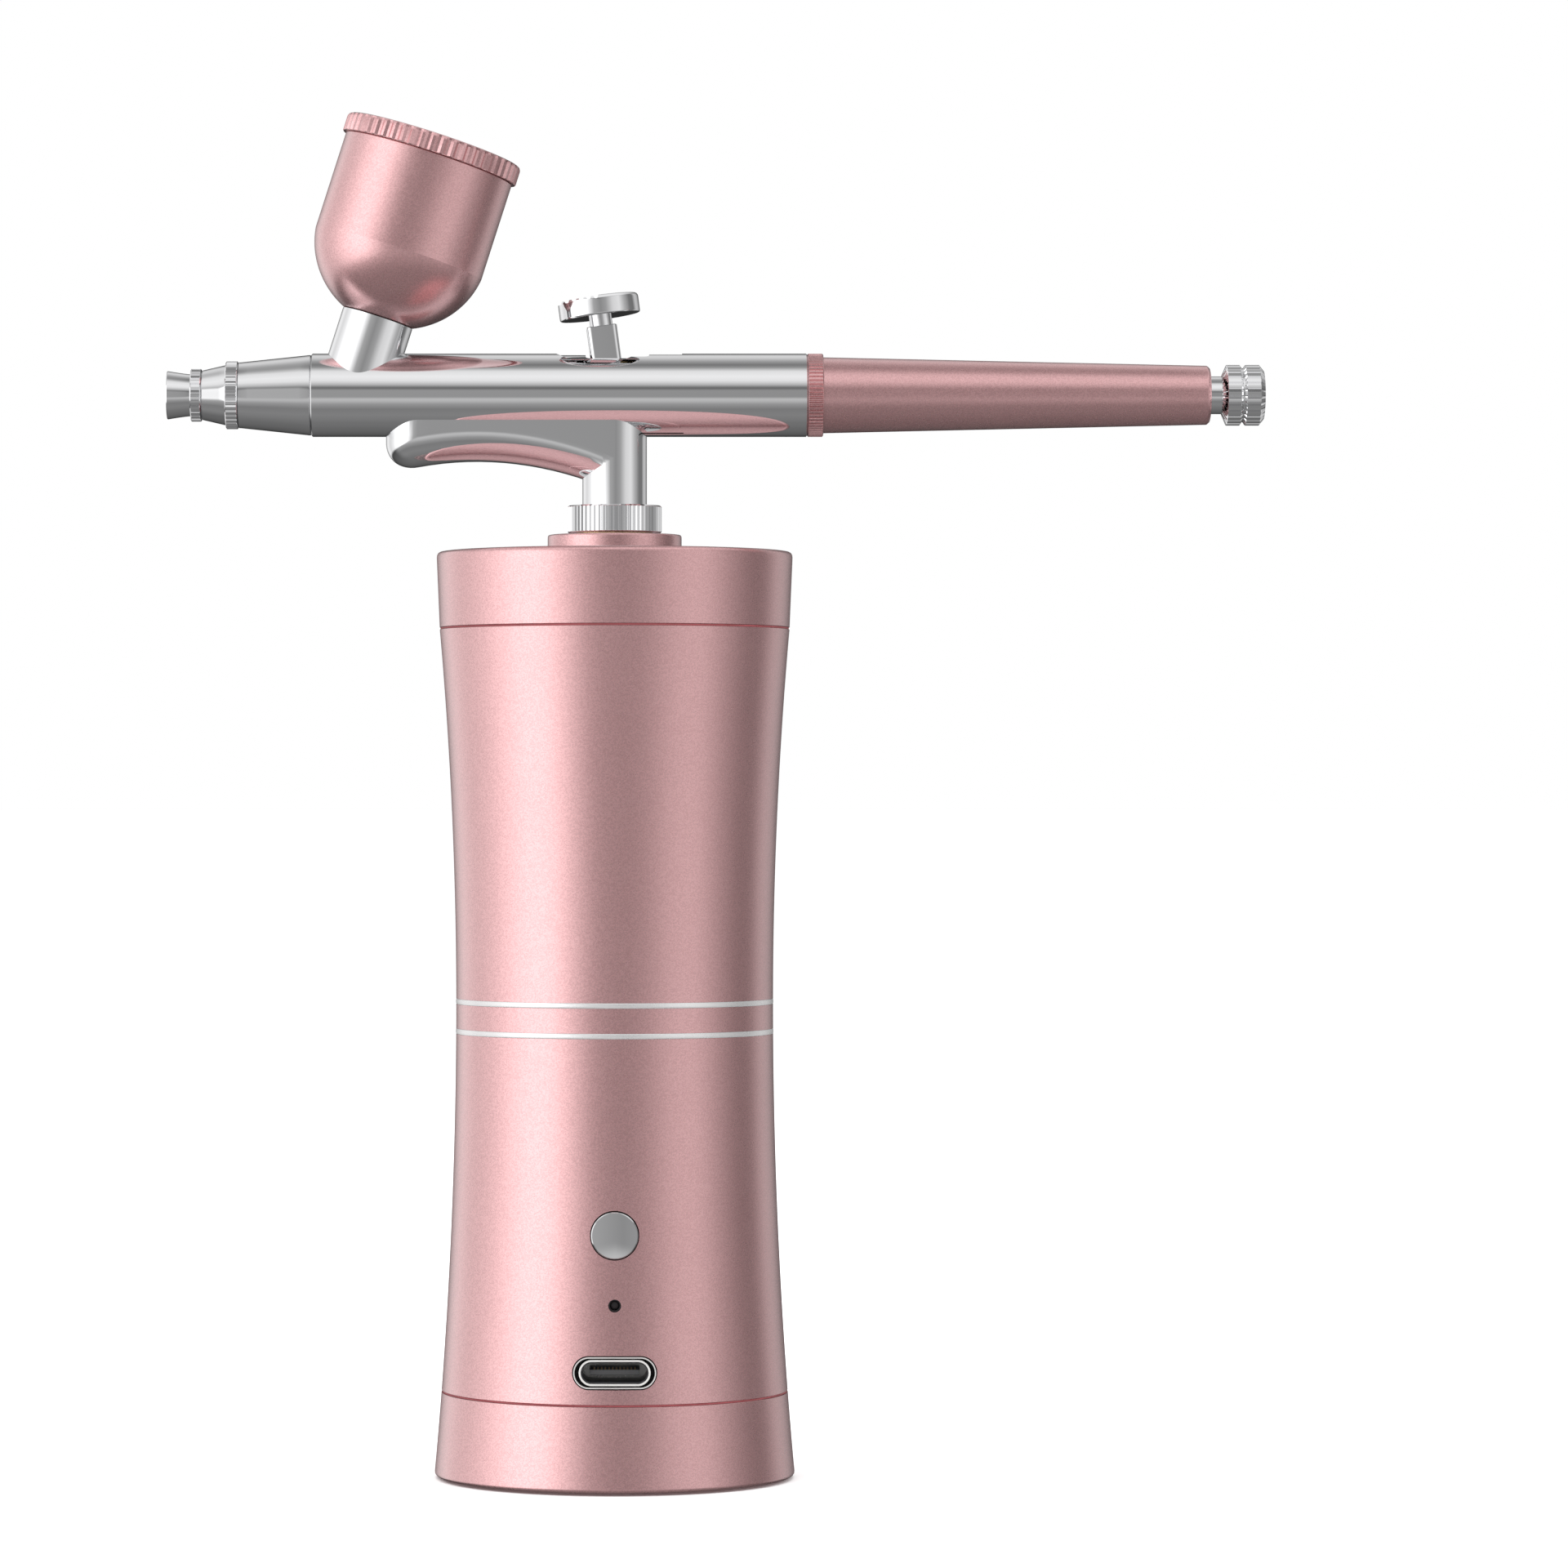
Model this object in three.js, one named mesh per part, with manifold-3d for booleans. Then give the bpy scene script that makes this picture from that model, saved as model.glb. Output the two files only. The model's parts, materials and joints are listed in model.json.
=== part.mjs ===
// A cordless airbrush: a gravity-feed, dual-action airbrush on a handle that holds two cells, a motor
// and a small diaphragm pump. Millimetres, +Z up, nozzle towards -X, button and charging socket towards -Y.
// The origin is the centre of the rubber foot, where the handle stands.
import * as THREE from "three";
import { mergeVertices } from "three/addons/utils/BufferGeometryUtils.js";
import Module from "manifold-3d";

const wasm = await Module();
wasm.setup();

// ---- Clearances ----
const seat = 0.05; // between pieces that rest on each other
const slip = 0.15; // around a piece that slides or turns in another
const loose = 0.3; // around a piece that is held by something else

// ---- Facets round a turned piece ----
const broad = 30;
const round = 20;
const plain = 14;
const small = 10;

// ---- Handle, from the foot up ----
const handle = {
  height: 117.9,
  waistRadius: 20.2,
  waistHeight: 60.7,
  baseFlare: 2.8,
  shoulderFlare: 2.1,
  topFlare: 2.5,
  lowerSeam: 11.1,
  capHeight: 9.75,
  edge: 0.7,
  wall: 1.6,
  spigotLength: 2.2,
  spigotWall: 1.5,
};
const seam = { ring: 0.16, inset: 0.3 };
const foot = { margin: 4, thickness: 1.2, lift: 0.3 };
const capFloor = 3;
const capRoof = 2.5;
const boss = { radius: 8.54, height: 2.17, edge: 0.3 };

// ---- Pieces in the front of the handle ----
const button = { height: 32.2, radius: 2.93, dome: 0.5, flange: 0.6, length: 3.4, travel: 0.5 };
const light = { height: 23.5, hole: 0.8, radius: 0.6, recess: 1.2 };
const socket = {
  height: 15.2,
  bezelWidth: 10.3,
  bezelHeight: 3.94,
  shellWidth: 8.94,
  shellHeight: 3.26,
  shellWall: 0.35,
  shellDepth: 8.2,
  tongueWidth: 6.2,
  tongueHeight: 0.7,
};
const board = { width: 20, thickness: 1.2, bottom: 9, top: 46, depth: 12.2 };
const tactSwitch = { size: 6, stem: 1.4 };

// ---- Frame, cells and screws ----
const chassis = { disc: 2, web: 1.8, webDepth: 9.2 };
const cell = { radius: 7, length: 50, gap: 0.6, back: 3.8, tip: 2.6, tipHeight: 0.8 };
const contact = { width: 22, depth: 8, thickness: 0.5 };
const screw = { radius: 1.15, head: 2.3, headHeight: 1.3, length: 8, post: 2.7, margin: 0.75, count: 3 };

// ---- Motor and pump ----
const motor = { radius: 12, length: 22.7, wall: 0.8, endCap: 2.9, shaft: 1, coreGap: 0.7, coreLength: 15 };
const magnet = { thickness: 1.6, length: 17, halfAngle: 55 };
const eccentric = { radius: 4.5, height: 4.3, roof: 1, pin: 0.6, pinHeight: 1.2, throw: 2 };
const pump = { radius: 13.4, wall: 2.2, floor: 0.7, cups: 3, cupCircle: 7.2, cupRadius: 3, cupDepth: 0.8 };
const swing = { hub: 3.2, arm: 2.4, pad: 2.2, thickness: 1.6 };
const diaphragmThickness = 1.2;
const valvePlateThickness = 2.1;
const pumpCover = { thickness: 2.7, nipple: 1.5, bore: 0.8, nippleLength: 5 };
const hose = { wall: 1, cover: 4.2 };
const outlet = { thread: 4.9, bore: 0.9, flange: 7.2, flangeHeight: 2.1, rise: 1.33, barb: 4 };

// ---- Airbrush body ----
const barrel = { radius: 5.3, front: -38.6, rear: 24.5 };
const stem = { length: 15.7, radius: 4.1, collar: 4.9, collarHeight: 0.9, bore: 2.9 };
const nut = { radius: 6, gap: 0.23, height: 3.5, lip: 0.6 };
const seal = { inner: 2.4, outer: 4.2, height: 0.7 };
const hook = { radius: 4.1, reach: 29.14, crest: -17.5, crestDrop: 8.5, rootDrop: 12.25 };
const dish = { centre: -2.2, depth: 0.2, halfLength: 5.3, halfWidth: 3.9, flat: 0.2, flatEnd: 8.6 };
const bores = {
  head: 3.4,
  headDepth: 2,
  fluid: 1.6,
  packing: 2.2,
  packingFront: -24,
  rear: 3.9,
  valve: 1.25,
};
const pocket = { front: -3.7, slotRear: 4.4, rear: 9.2, halfWidth: 2.25, floor: 5 };

// ---- Head, from the barrel forward ----
const head = {
  length: 9.27,
  rearRadius: 5.11,
  frontRadius: 4.19,
  spigot: 1.3,
  sealBore: 1.2,
  mouth: 3.1,
  mouthDepth: 2.8,
};
const airCap = {
  ringRadius: 4.32,
  ringLength: 1.56,
  rearRadius: 3.86,
  frontRadius: 3.13,
  coneLength: 3.07,
  spigot: 2.4,
  nose: 1.9,
  noseLength: 1,
  throat: 0.95,
};
const crown = { ringRadius: 3.36, ringLength: 1.35, neck: 2.67, lip: 3.07, length: 3.03, wall: 0.4 };
const nozzle = { tip: 0.42, hole: 0.3, shoulder: 1.3, base: 2, baseLength: 3, length: 12.6, bore: 0.75 };
const needle = { radius: 0.5, tipLength: 5.1, past: 1, tail: 46, draw: 2.5 };
const packing = { length: 5.5, front: -23.6 };

// ---- Valve and trigger ----
const valve = { head: 2.5, headHeight: 1, rod: 0.9, plug: 2, spring: 3.2, seatHeight: 0.4 };
const trigger = {
  pivotDrop: 3.6,
  lean: 7.7,
  width: 3.9,
  blockTop: 12.5,
  blockFoot: 1,
  ball: 0.95,
  slotWidth: 1.6,
  slotBottom: 1.6,
  slotTop: 8.6,
  neck: 2.9,
  padRadius: 5.15,
  padBottom: 13.7,
  padTop: 16.2,
  padEdge: 0.5,
};
const lever = { front: 1.9, thickness: 0.8, width: 3.4, bottom: 2.1, top: 3.4, hole: 0.9 };

// ---- Needle guide, spring case and tail ----
const guide = {
  nose: 1.5,
  noseFront: 3,
  flange: 3.4,
  flangeFront: 9.5,
  flangeLength: 1.5,
  tube: 1.9,
  rear: 38,
};
const chuck = { radius: 2.6, length: 6 };
const springCase = { radius: 3.7, wall: 0.5, front: 16, rear: 34.5, endWall: 1.4 };
const springWire = { needle: 0.45, valve: 0.35 };
const tail = {
  ringLength: 2,
  length: 49.3,
  frontRadius: 4.83,
  rearRadius: 3.76,
  edge: 0.4,
  bore: 4,
  boreEnd: 46,
  smallBore: 2.75,
  endWall: 6,
};
const knob = {
  radius: 3.89,
  length: 5.41,
  gap: 1.45,
  stem: 2.4,
  flutes: 26,
  fluteDepth: 0.22,
  groove: 0.42,
  grooveWidth: 0.74,
  grooveAt: 2.7,
};
const stop = { radius: 2.4, length: 3.2, spare: 1.3 };

// ---- Cup ----
const cup = {
  foot: -33.36,
  tilt: 17.8,
  neck: 4.62,
  neckTop: 10.3,
  shoulder: 18.99,
  radius: 11.07,
  wall: 0.95,
  side: 12.69,
  bowl: 9.55,
  rim: 1.5,
  rimStep: 0.6,
  nipple: 2.6,
  nippleLength: 5,
  sealHeight: 0.8,
  drain: 1.4,
};
const lid = { radius: 11.55, side: 2.1, edge: 0.3, plug: 9.3, plugDepth: 1.6 };

// ---- Finishes ----
function finish(color, roughness, metalness) {
  return new THREE.MeshStandardMaterial({ color, roughness, metalness });
}

const pink = finish(0xc8979a, 0.35, 0.8);
const chrome = finish(0xd9d9db, 0.12, 1);
const steel = finish(0xa8abae, 0.35, 1);
const brass = finish(0xb59450, 0.35, 1);
const copper = finish(0xa4683f, 0.4, 1);
const nickel = finish(0xc2bfb6, 0.4, 1);
const blackRubber = finish(0x1a1a1b, 0.85, 0);
const redRubber = finish(0x7d2027, 0.7, 0);
const whitePlastic = finish(0xe6e4dc, 0.5, 0);
const blackPlastic = finish(0x202124, 0.5, 0);
const greenBoard = finish(0x1f5a3a, 0.5, 0.1);
const blueWrap = finish(0x2f5c93, 0.4, 0);
const magnetGrey = finish(0x4a4b4e, 0.6, 0.6);
const clearTube = finish(0xdadcd6, 0.3, 0);

// ---- Places worked out from the sizes ----
const baseRadius = handle.waistRadius + handle.baseFlare;
const shoulderRadius = handle.waistRadius + handle.shoulderFlare;
const topRadius = handle.waistRadius + handle.topFlare;
const footRadius = baseRadius - foot.margin;
const upperSeam = handle.height - handle.capHeight;
const caseBore = handle.waistRadius - handle.wall;
const spigotRadius = caseBore - slip;
const spigotBore = spigotRadius - handle.spigotWall;
const seamHalf = seam.ring / 2 + seat;
const screwCircle = spigotBore - screw.post - screw.margin;
const webHalf = Math.sqrt((spigotBore - loose) ** 2 - chassis.webDepth ** 2);
const padRecess = foot.thickness + seat;
const floorTop = padRecess + capFloor;
const chassisBottom = floorTop + seat;
const cellBottom = chassisBottom + chassis.disc + contact.thickness + 2 * loose;
const cellTop = cellBottom + cell.length;
const deckBottom = cellTop + contact.thickness + 2 * loose;
const deckTop = deckBottom + chassis.disc;
const motorBottom = deckTop + loose;
const magnetOuter = motor.radius - motor.wall - loose;
const magnetInner = magnetOuter - magnet.thickness;
const coreRadius = magnetInner - motor.coreGap;
const canBottom = motorBottom + motor.endCap + seat;
const canTop = canBottom + motor.length;
const pumpBottom = canTop + loose;
const wheelBottom = pumpBottom + pump.floor + loose;
const wheelTop = wheelBottom + eccentric.height;
const swingBottom = wheelTop + eccentric.pinHeight + loose;
const diaphragmBottom = swingBottom + swing.thickness + loose + pump.cupDepth;
const pumpTop = diaphragmBottom - seat;
const valvePlateBottom = diaphragmBottom + diaphragmThickness + seat;
const coverBottom = valvePlateBottom + valvePlateThickness + seat;
const coverTop = coverBottom + pumpCover.thickness;
const nippleTop = coverTop + pumpCover.nippleLength;
const capCeiling = handle.height - capRoof;
const flangeTop = capCeiling - seat;
const flangeBottom = flangeTop - outlet.flangeHeight;
const bossTop = handle.height + boss.height;
const outletTop = bossTop + outlet.rise;
const sealBottom = outletTop + seat;
const stemBottom = sealBottom + seal.height + seat;
const axisHeight = stemBottom + stem.length;
const pivotHeight = axisHeight - trigger.pivotDrop;

const deg = THREE.MathUtils.degToRad;

// ---- Solids ----

// A closed solid from a three.js geometry, facing out whichever way its outline was drawn.
function toSolid(geometry) {
  const bare = new THREE.BufferGeometry();
  bare.setAttribute("position", geometry.getAttribute("position"));
  bare.setIndex(geometry.getIndex());
  const merged = mergeVertices(bare, 1e-4);
  const triVerts = new Uint32Array(merged.getIndex().array);
  const vertProperties = merged.getAttribute("position").array;
  if (signedVolume(vertProperties, triVerts) < 0) {
    triVerts.reverse();
  }
  return new wasm.Manifold(new wasm.Mesh({ numProp: 3, vertProperties, triVerts }));
}

function signedVolume(points, corners) {
  const a = new THREE.Vector3();
  const b = new THREE.Vector3();
  const c = new THREE.Vector3();
  let sum = 0;
  for (let i = 0; i < corners.length; i += 3) {
    a.fromArray(points, corners[i] * 3);
    b.fromArray(points, corners[i + 1] * 3);
    c.fromArray(points, corners[i + 2] * 3);
    sum += a.dot(b.cross(c)) / 6;
  }
  return sum;
}

function toGeometry(solid) {
  const mesh = solid.getMesh();
  const indexed = new THREE.BufferGeometry();
  indexed.setAttribute("position", new THREE.BufferAttribute(new Float32Array(mesh.vertProperties), 3));
  indexed.setIndex(new THREE.BufferAttribute(new Uint32Array(mesh.triVerts), 1));
  const flat = indexed.toNonIndexed();
  flat.computeVertexNormals();
  return flat;
}

function join(...shapes) {
  return toGeometry(shapes.map(toSolid).reduce((whole, next) => whole.add(next)));
}

function cut(shape, ...tools) {
  return toGeometry(tools.map(toSolid).reduce((left, tool) => left.subtract(tool), toSolid(shape)));
}

// A turned piece about Z from [radius, height] corners. It closes on itself unless it ends on the axis.
function turned(corners, segments = plain) {
  const points = corners.map(([radius, height]) => new THREE.Vector2(radius, height));
  const onAxis = points[0].x === 0 && points.at(-1).x === 0;
  if (!onAxis) {
    points.push(points[0].clone());
  }
  return new THREE.LatheGeometry(points, segments).rotateX(Math.PI / 2);
}

function rod(radius, from, to, segments = plain) {
  return turned([[0, from], [radius, from], [radius, to], [0, to]], segments);
}

function tube(outer, inner, from, to, segments = plain) {
  return turned([[inner, from], [outer, from], [outer, to], [inner, to]], segments);
}

// A box from its lowest to its highest corner.
function block(low, high) {
  const size = high.map((value, i) => value - low[i]);
  const middle = high.map((value, i) => (value + low[i]) / 2);
  return new THREE.BoxGeometry(...size).translate(...middle);
}

// Turns a piece made along Z so that it points along X, on the barrel's axis.
function alongBarrel(geometry) {
  return geometry.rotateY(Math.PI / 2).translate(0, 0, axisHeight);
}

// Turns a piece made along Z so that it points to the front, -Y, at a height.
function toFront(geometry, height) {
  return geometry.rotateX(Math.PI / 2).translate(0, 0, height);
}

// An outline with round ends, width along X and height along Y.
function stadium(width, height) {
  const radius = height / 2;
  const reach = width / 2 - radius;
  const outline = new THREE.Shape();
  outline.absarc(reach, 0, radius, -Math.PI / 2, Math.PI / 2, false);
  outline.absarc(-reach, 0, radius, Math.PI / 2, Math.PI * 1.5, false);
  return outline;
}

function extruded(outline, from, to, curveSegments = 6) {
  const settings = { depth: to - from, bevelEnabled: false, curveSegments };
  return new THREE.ExtrudeGeometry(outline, settings).translate(0, 0, from);
}

// A closed skin over rings of points that hold the same number of corners.
function lofted(rings) {
  const count = rings[0].length;
  const positions = rings.flat().flatMap((point) => [point.x, point.y, point.z]);
  const faces = [];
  for (let ring = 0; ring + 1 < rings.length; ring++) {
    for (let i = 0; i < count; i++) {
      const a = ring * count + i;
      const b = ring * count + ((i + 1) % count);
      faces.push(a, b, b + count, a, b + count, a + count);
    }
  }
  const last = (rings.length - 1) * count;
  for (let i = 1; i + 1 < count; i++) {
    faces.push(0, i + 1, i, last, last + i, last + i + 1);
  }
  const skin = new THREE.BufferGeometry();
  skin.setAttribute("position", new THREE.Float32BufferAttribute(positions, 3));
  skin.setIndex(faces);
  return skin;
}

class Helix extends THREE.Curve {
  constructor(radius, from, to, turns) {
    super();
    Object.assign(this, { radius, from, to, turns });
  }

  getPoint(t, target = new THREE.Vector3()) {
    const angle = t * this.turns * 2 * Math.PI;
    const height = this.from + t * (this.to - this.from);
    return target.set(this.radius * Math.cos(angle), this.radius * Math.sin(angle), height);
  }
}

function coilSpring(radius, wire, from, to, turns) {
  const section = new THREE.Shape();
  section.absarc(0, 0, wire / 2, 0, 2 * Math.PI, false);
  const extrudePath = new Helix(radius, from + wire / 2, to - wire / 2, turns);
  const settings = { extrudePath, steps: turns * 8, curveSegments: 3, bevelEnabled: false };
  return new THREE.ExtrudeGeometry(section, settings);
}

const root = new THREE.Group();
const onBarrel = new THREE.Group();
onBarrel.position.set(0, 0, axisHeight);
onBarrel.rotation.y = Math.PI / 2;
const onCup = new THREE.Group();
onCup.position.set(cup.foot, 0, axisHeight);
onCup.rotation.y = deg(cup.tilt);
const onTrigger = new THREE.Group();
onTrigger.position.set(0, 0, axisHeight - trigger.pivotDrop);
onTrigger.rotation.y = -deg(trigger.lean);
root.add(onBarrel, onCup, onTrigger);

function add(name, shape, material, group = root) {
  const mesh = new THREE.Mesh(toGeometry(toSolid(shape)), material);
  mesh.name = name;
  group.add(mesh);
}

// The handle narrows to its waist along one parabola and widens from it along another.
function handleRadius(height) {
  const { waistHeight, waistRadius } = handle;
  const below = height < waistHeight;
  const widest = below ? baseRadius : shoulderRadius;
  const reach = below ? waistHeight : upperSeam - waistHeight;
  return waistRadius + (widest - waistRadius) * ((height - waistHeight) / reach) ** 2;
}

function handleSide(from, to, steps) {
  const corners = [];
  for (let i = 0; i <= steps; i++) {
    const height = from + ((to - from) * i) / steps;
    corners.push([handleRadius(height), height]);
  }
  return corners;
}

function around(count, circle, turnedBy, make) {
  const copies = [];
  for (let i = 0; i < count; i++) {
    const angle = turnedBy + (i * 2 * Math.PI) / count;
    copies.push(make(i).translate(circle * Math.cos(angle), circle * Math.sin(angle), 0));
  }
  return copies;
}

// ---- Casing ----

function addCasing() {
  const lowTop = handle.lowerSeam - seamHalf;
  const screwHead = padRecess + screw.headHeight + loose;
  const bottomCap = turned(
    [
      [0, padRecess],
      [footRadius + loose, padRecess],
      [footRadius + loose, foot.lift],
      [handleRadius(0) - handle.edge, foot.lift],
      ...handleSide(foot.lift + handle.edge, lowTop, 2),
      [spigotRadius, lowTop],
      [spigotRadius, handle.lowerSeam + handle.spigotLength],
      [spigotBore, handle.lowerSeam + handle.spigotLength],
      [spigotBore, floorTop],
      [0, floorTop],
    ],
    broad,
  );
  const screwHoles = around(screw.count, screwCircle, Math.PI / 2, () =>
    join(
      rod(screw.head + loose, padRecess - 1, screwHead, small),
      rod(screw.radius + loose, padRecess - 1, floorTop + 1, small),
    ),
  );
  add("bottom_cap", cut(bottomCap, ...screwHoles), pink);
  add("foot_pad", rod(footRadius, 0, foot.thickness, broad), blackRubber);
  const heads = around(screw.count, screwCircle, Math.PI / 2, () =>
    turned(
      [
        [0, padRecess + slip],
        [screw.head, padRecess + slip],
        [screw.head, padRecess + screw.headHeight],
        [screw.radius, padRecess + screw.headHeight],
        [screw.radius, padRecess + screw.headHeight + screw.length],
        [0, padRecess + screw.headHeight + screw.length],
      ],
      16,
    ),
  );
  heads.forEach((shape, i) => add(`base_screw_${i + 1}`, shape, steel));
  addTrimRing("trim_ring_lower", handle.lowerSeam);
  addTrimRing("trim_ring_upper", upperSeam);
  addMainCase();
  addTopCap();
}

function addTrimRing(name, height) {
  const outer = handleRadius(height) - seam.inset;
  const inner = caseBore + slip;
  add(name, tube(outer, inner, height - seam.ring / 2, height + seam.ring / 2, broad), redRubber);
}

function addMainCase() {
  const bottom = handle.lowerSeam + seamHalf;
  const top = upperSeam - seamHalf;
  const shell = turned([[caseBore, bottom], ...handleSide(bottom, top, 9), [caseBore, top]], broad);
  const outside = baseRadius + 1;
  const inside = caseBore - 3;
  const buttonHole = toFront(rod(button.radius + slip, inside, outside, plain), button.height);
  const lightHole = toFront(rod(light.hole, inside, outside, 12), light.height);
  const socketOutline = stadium(socket.bezelWidth + 2 * slip, socket.bezelHeight + 2 * slip);
  const socketHole = toFront(extruded(socketOutline, inside, outside), socket.height);
  add("main_case", cut(shell, buttonHole, lightHole, socketHole), pink);
}

function addTopCap() {
  const bottom = upperSeam + seamHalf;
  const bore = outlet.thread + loose;
  const cap = turned(
    [
      [bore, bossTop],
      [boss.radius - boss.edge, bossTop],
      [boss.radius, bossTop - boss.edge],
      [boss.radius, handle.height],
      [topRadius - handle.edge, handle.height],
      [topRadius, handle.height - handle.edge],
      [shoulderRadius, bottom],
      [spigotRadius, bottom],
      [spigotRadius, upperSeam - handle.spigotLength],
      [spigotBore, upperSeam - handle.spigotLength],
      [spigotBore, capCeiling],
      [bore, capCeiling],
    ],
    broad,
  );
  add("top_cap", cap, pink);
}

// ---- Front of the handle: button, light and charging socket ----

function addFront() {
  const face = handleRadius(button.height);
  const back = face - button.length;
  const buttonShape = turned(
    [
      [0, back],
      [button.radius + button.flange, back],
      [button.radius + button.flange, back + button.flange],
      [button.radius, back + button.flange],
      [button.radius, face + 0.05],
      [button.radius * 0.6, face + button.dome * 0.8],
      [0, face + button.dome],
    ],
    24,
  );
  add("power_button", toFront(buttonShape, button.height), chrome);
  const boardFront = board.depth;
  const switchTop = back - button.travel - slip;
  const body = block(
    [-tactSwitch.size / 2, -tactSwitch.size / 2, boardFront + slip],
    [tactSwitch.size / 2, tactSwitch.size / 2, switchTop - 1],
  );
  const plunger = rod(tactSwitch.stem, boardFront + 1, switchTop, 12);
  add("button_switch", toFront(join(body, plunger), button.height), blackPlastic);
  const lightFace = handleRadius(light.height) - light.recess;
  const lens = rod(light.radius, boardFront + slip, lightFace, 12);
  add("status_light", toFront(lens, light.height), blackPlastic);
  addSocket(boardFront);
  const half = board.width / 2;
  const plate = block([-half, -board.depth, board.bottom], [half, board.thickness - board.depth, board.top]);
  add("circuit_board", plate, greenBoard);
}

function addSocket(boardFront) {
  const face = handleRadius(socket.height);
  const ring = cut(
    extruded(stadium(socket.bezelWidth, socket.bezelHeight), caseBore + loose, face),
    extruded(stadium(socket.shellWidth + 2 * slip, socket.shellHeight + 2 * slip), 0, face + 1),
  );
  add("usb_bezel", toFront(ring, socket.height), steel);
  const shellFront = face - 0.2;
  const shellBack = Math.max(shellFront - socket.shellDepth, boardFront + slip);
  const openWidth = socket.shellWidth - 2 * socket.shellWall;
  const openHeight = socket.shellHeight - 2 * socket.shellWall;
  const shell = cut(
    extruded(stadium(socket.shellWidth, socket.shellHeight), shellBack, shellFront),
    extruded(stadium(openWidth, openHeight), shellBack + 1, shellFront + 1),
  );
  add("usb_shell", toFront(shell, socket.height), nickel);
  const halfWidth = socket.tongueWidth / 2;
  const halfHeight = socket.tongueHeight / 2;
  const tongue = block(
    [-halfWidth, -halfHeight, shellBack + 1 + slip],
    [halfWidth, halfHeight, shellFront - 1],
  );
  add("usb_tongue", toFront(tongue, socket.height), blackPlastic);
}

// ---- Frame and cells ----

function addChassis() {
  const web = block(
    [-webHalf, -chassis.webDepth, chassisBottom + 0.5],
    [webHalf, chassis.web - chassis.webDepth, deckBottom + 0.5],
  );
  const postTop = padRecess + screw.headHeight + screw.length + 2;
  const posts = around(screw.count, screwCircle, Math.PI / 2, () =>
    rod(screw.post, chassisBottom + 0.5, postTop, small),
  );
  const holes = around(screw.count, screwCircle, Math.PI / 2, () =>
    rod(screw.radius + slip, chassisBottom - 1, postTop - 1, small),
  );
  const frame = join(
    rod(spigotBore - loose, chassisBottom, chassisBottom + chassis.disc, round),
    rod(caseBore - loose, deckBottom, deckTop, round),
    web,
    ...posts,
  );
  add("chassis", cut(frame, ...holes), whitePlastic);
  for (const side of [-1, 1]) {
    const name = side < 0 ? "battery_cell_left" : "battery_cell_right";
    const shape = turned([
      [0, cellBottom],
      [cell.radius - 0.5, cellBottom],
      [cell.radius, cellBottom + 0.5],
      [cell.radius, cellTop - cell.tipHeight - 0.5],
      [cell.radius - 0.5, cellTop - cell.tipHeight],
      [cell.tip, cellTop - cell.tipHeight],
      [cell.tip, cellTop],
      [0, cellTop],
    ]);
    add(name, shape.translate(side * (cell.radius + cell.gap / 2), cell.back, 0), blueWrap);
  }
  addContact("battery_contact_lower", cellBottom - loose - contact.thickness);
  addContact("battery_contact_upper", cellTop + loose);
}

function addContact(name, bottom) {
  const low = [-contact.width / 2, cell.back - contact.depth / 2, bottom];
  const high = [contact.width / 2, cell.back + contact.depth / 2, bottom + contact.thickness];
  add(name, block(low, high), nickel);
}

// ---- Motor ----

function addMotor() {
  const bore = motor.shaft + loose;
  const endCap = turned([
    [0, motorBottom],
    [motor.radius - loose, motorBottom],
    [motor.radius - loose, canBottom - seat],
    [bore, canBottom - seat],
    [bore, motorBottom + 1],
    [0, motorBottom + 1],
  ]);
  add("motor_end_cap", endCap, whitePlastic);
  const can = turned([
    [motor.radius - motor.wall, canBottom],
    [motor.radius, canBottom],
    [motor.radius, canTop],
    [bore, canTop],
    [bore, canTop - 1.2],
    [motor.radius - motor.wall, canTop - 1.2],
  ], round);
  add("motor_can", can, steel);
  const magnetBottom = canBottom + 2;
  for (const side of [-1, 1]) {
    const arc = new THREE.Shape();
    const middle = side < 0 ? Math.PI : 0;
    const half = deg(magnet.halfAngle);
    arc.absarc(0, 0, magnetOuter, middle - half, middle + half, false);
    arc.absarc(0, 0, magnetInner, middle + half, middle - half, true);
    const shape = extruded(arc, magnetBottom, magnetBottom + magnet.length, 8);
    add(side < 0 ? "motor_magnet_left" : "motor_magnet_right", shape, magnetGrey);
  }
  const coreBottom = canBottom + 3;
  const shaftTop = wheelTop - eccentric.roof - loose;
  const rotor = turned([
    [0, motorBottom + 1 + loose],
    [motor.shaft, motorBottom + 1 + loose],
    [motor.shaft, coreBottom],
    [coreRadius, coreBottom],
    [coreRadius, coreBottom + motor.coreLength],
    [motor.shaft, coreBottom + motor.coreLength],
    [motor.shaft, shaftTop],
    [0, shaftTop],
  ], small);
  add("motor_rotor", rotor, copper);
}

// ---- Pump ----

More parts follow.
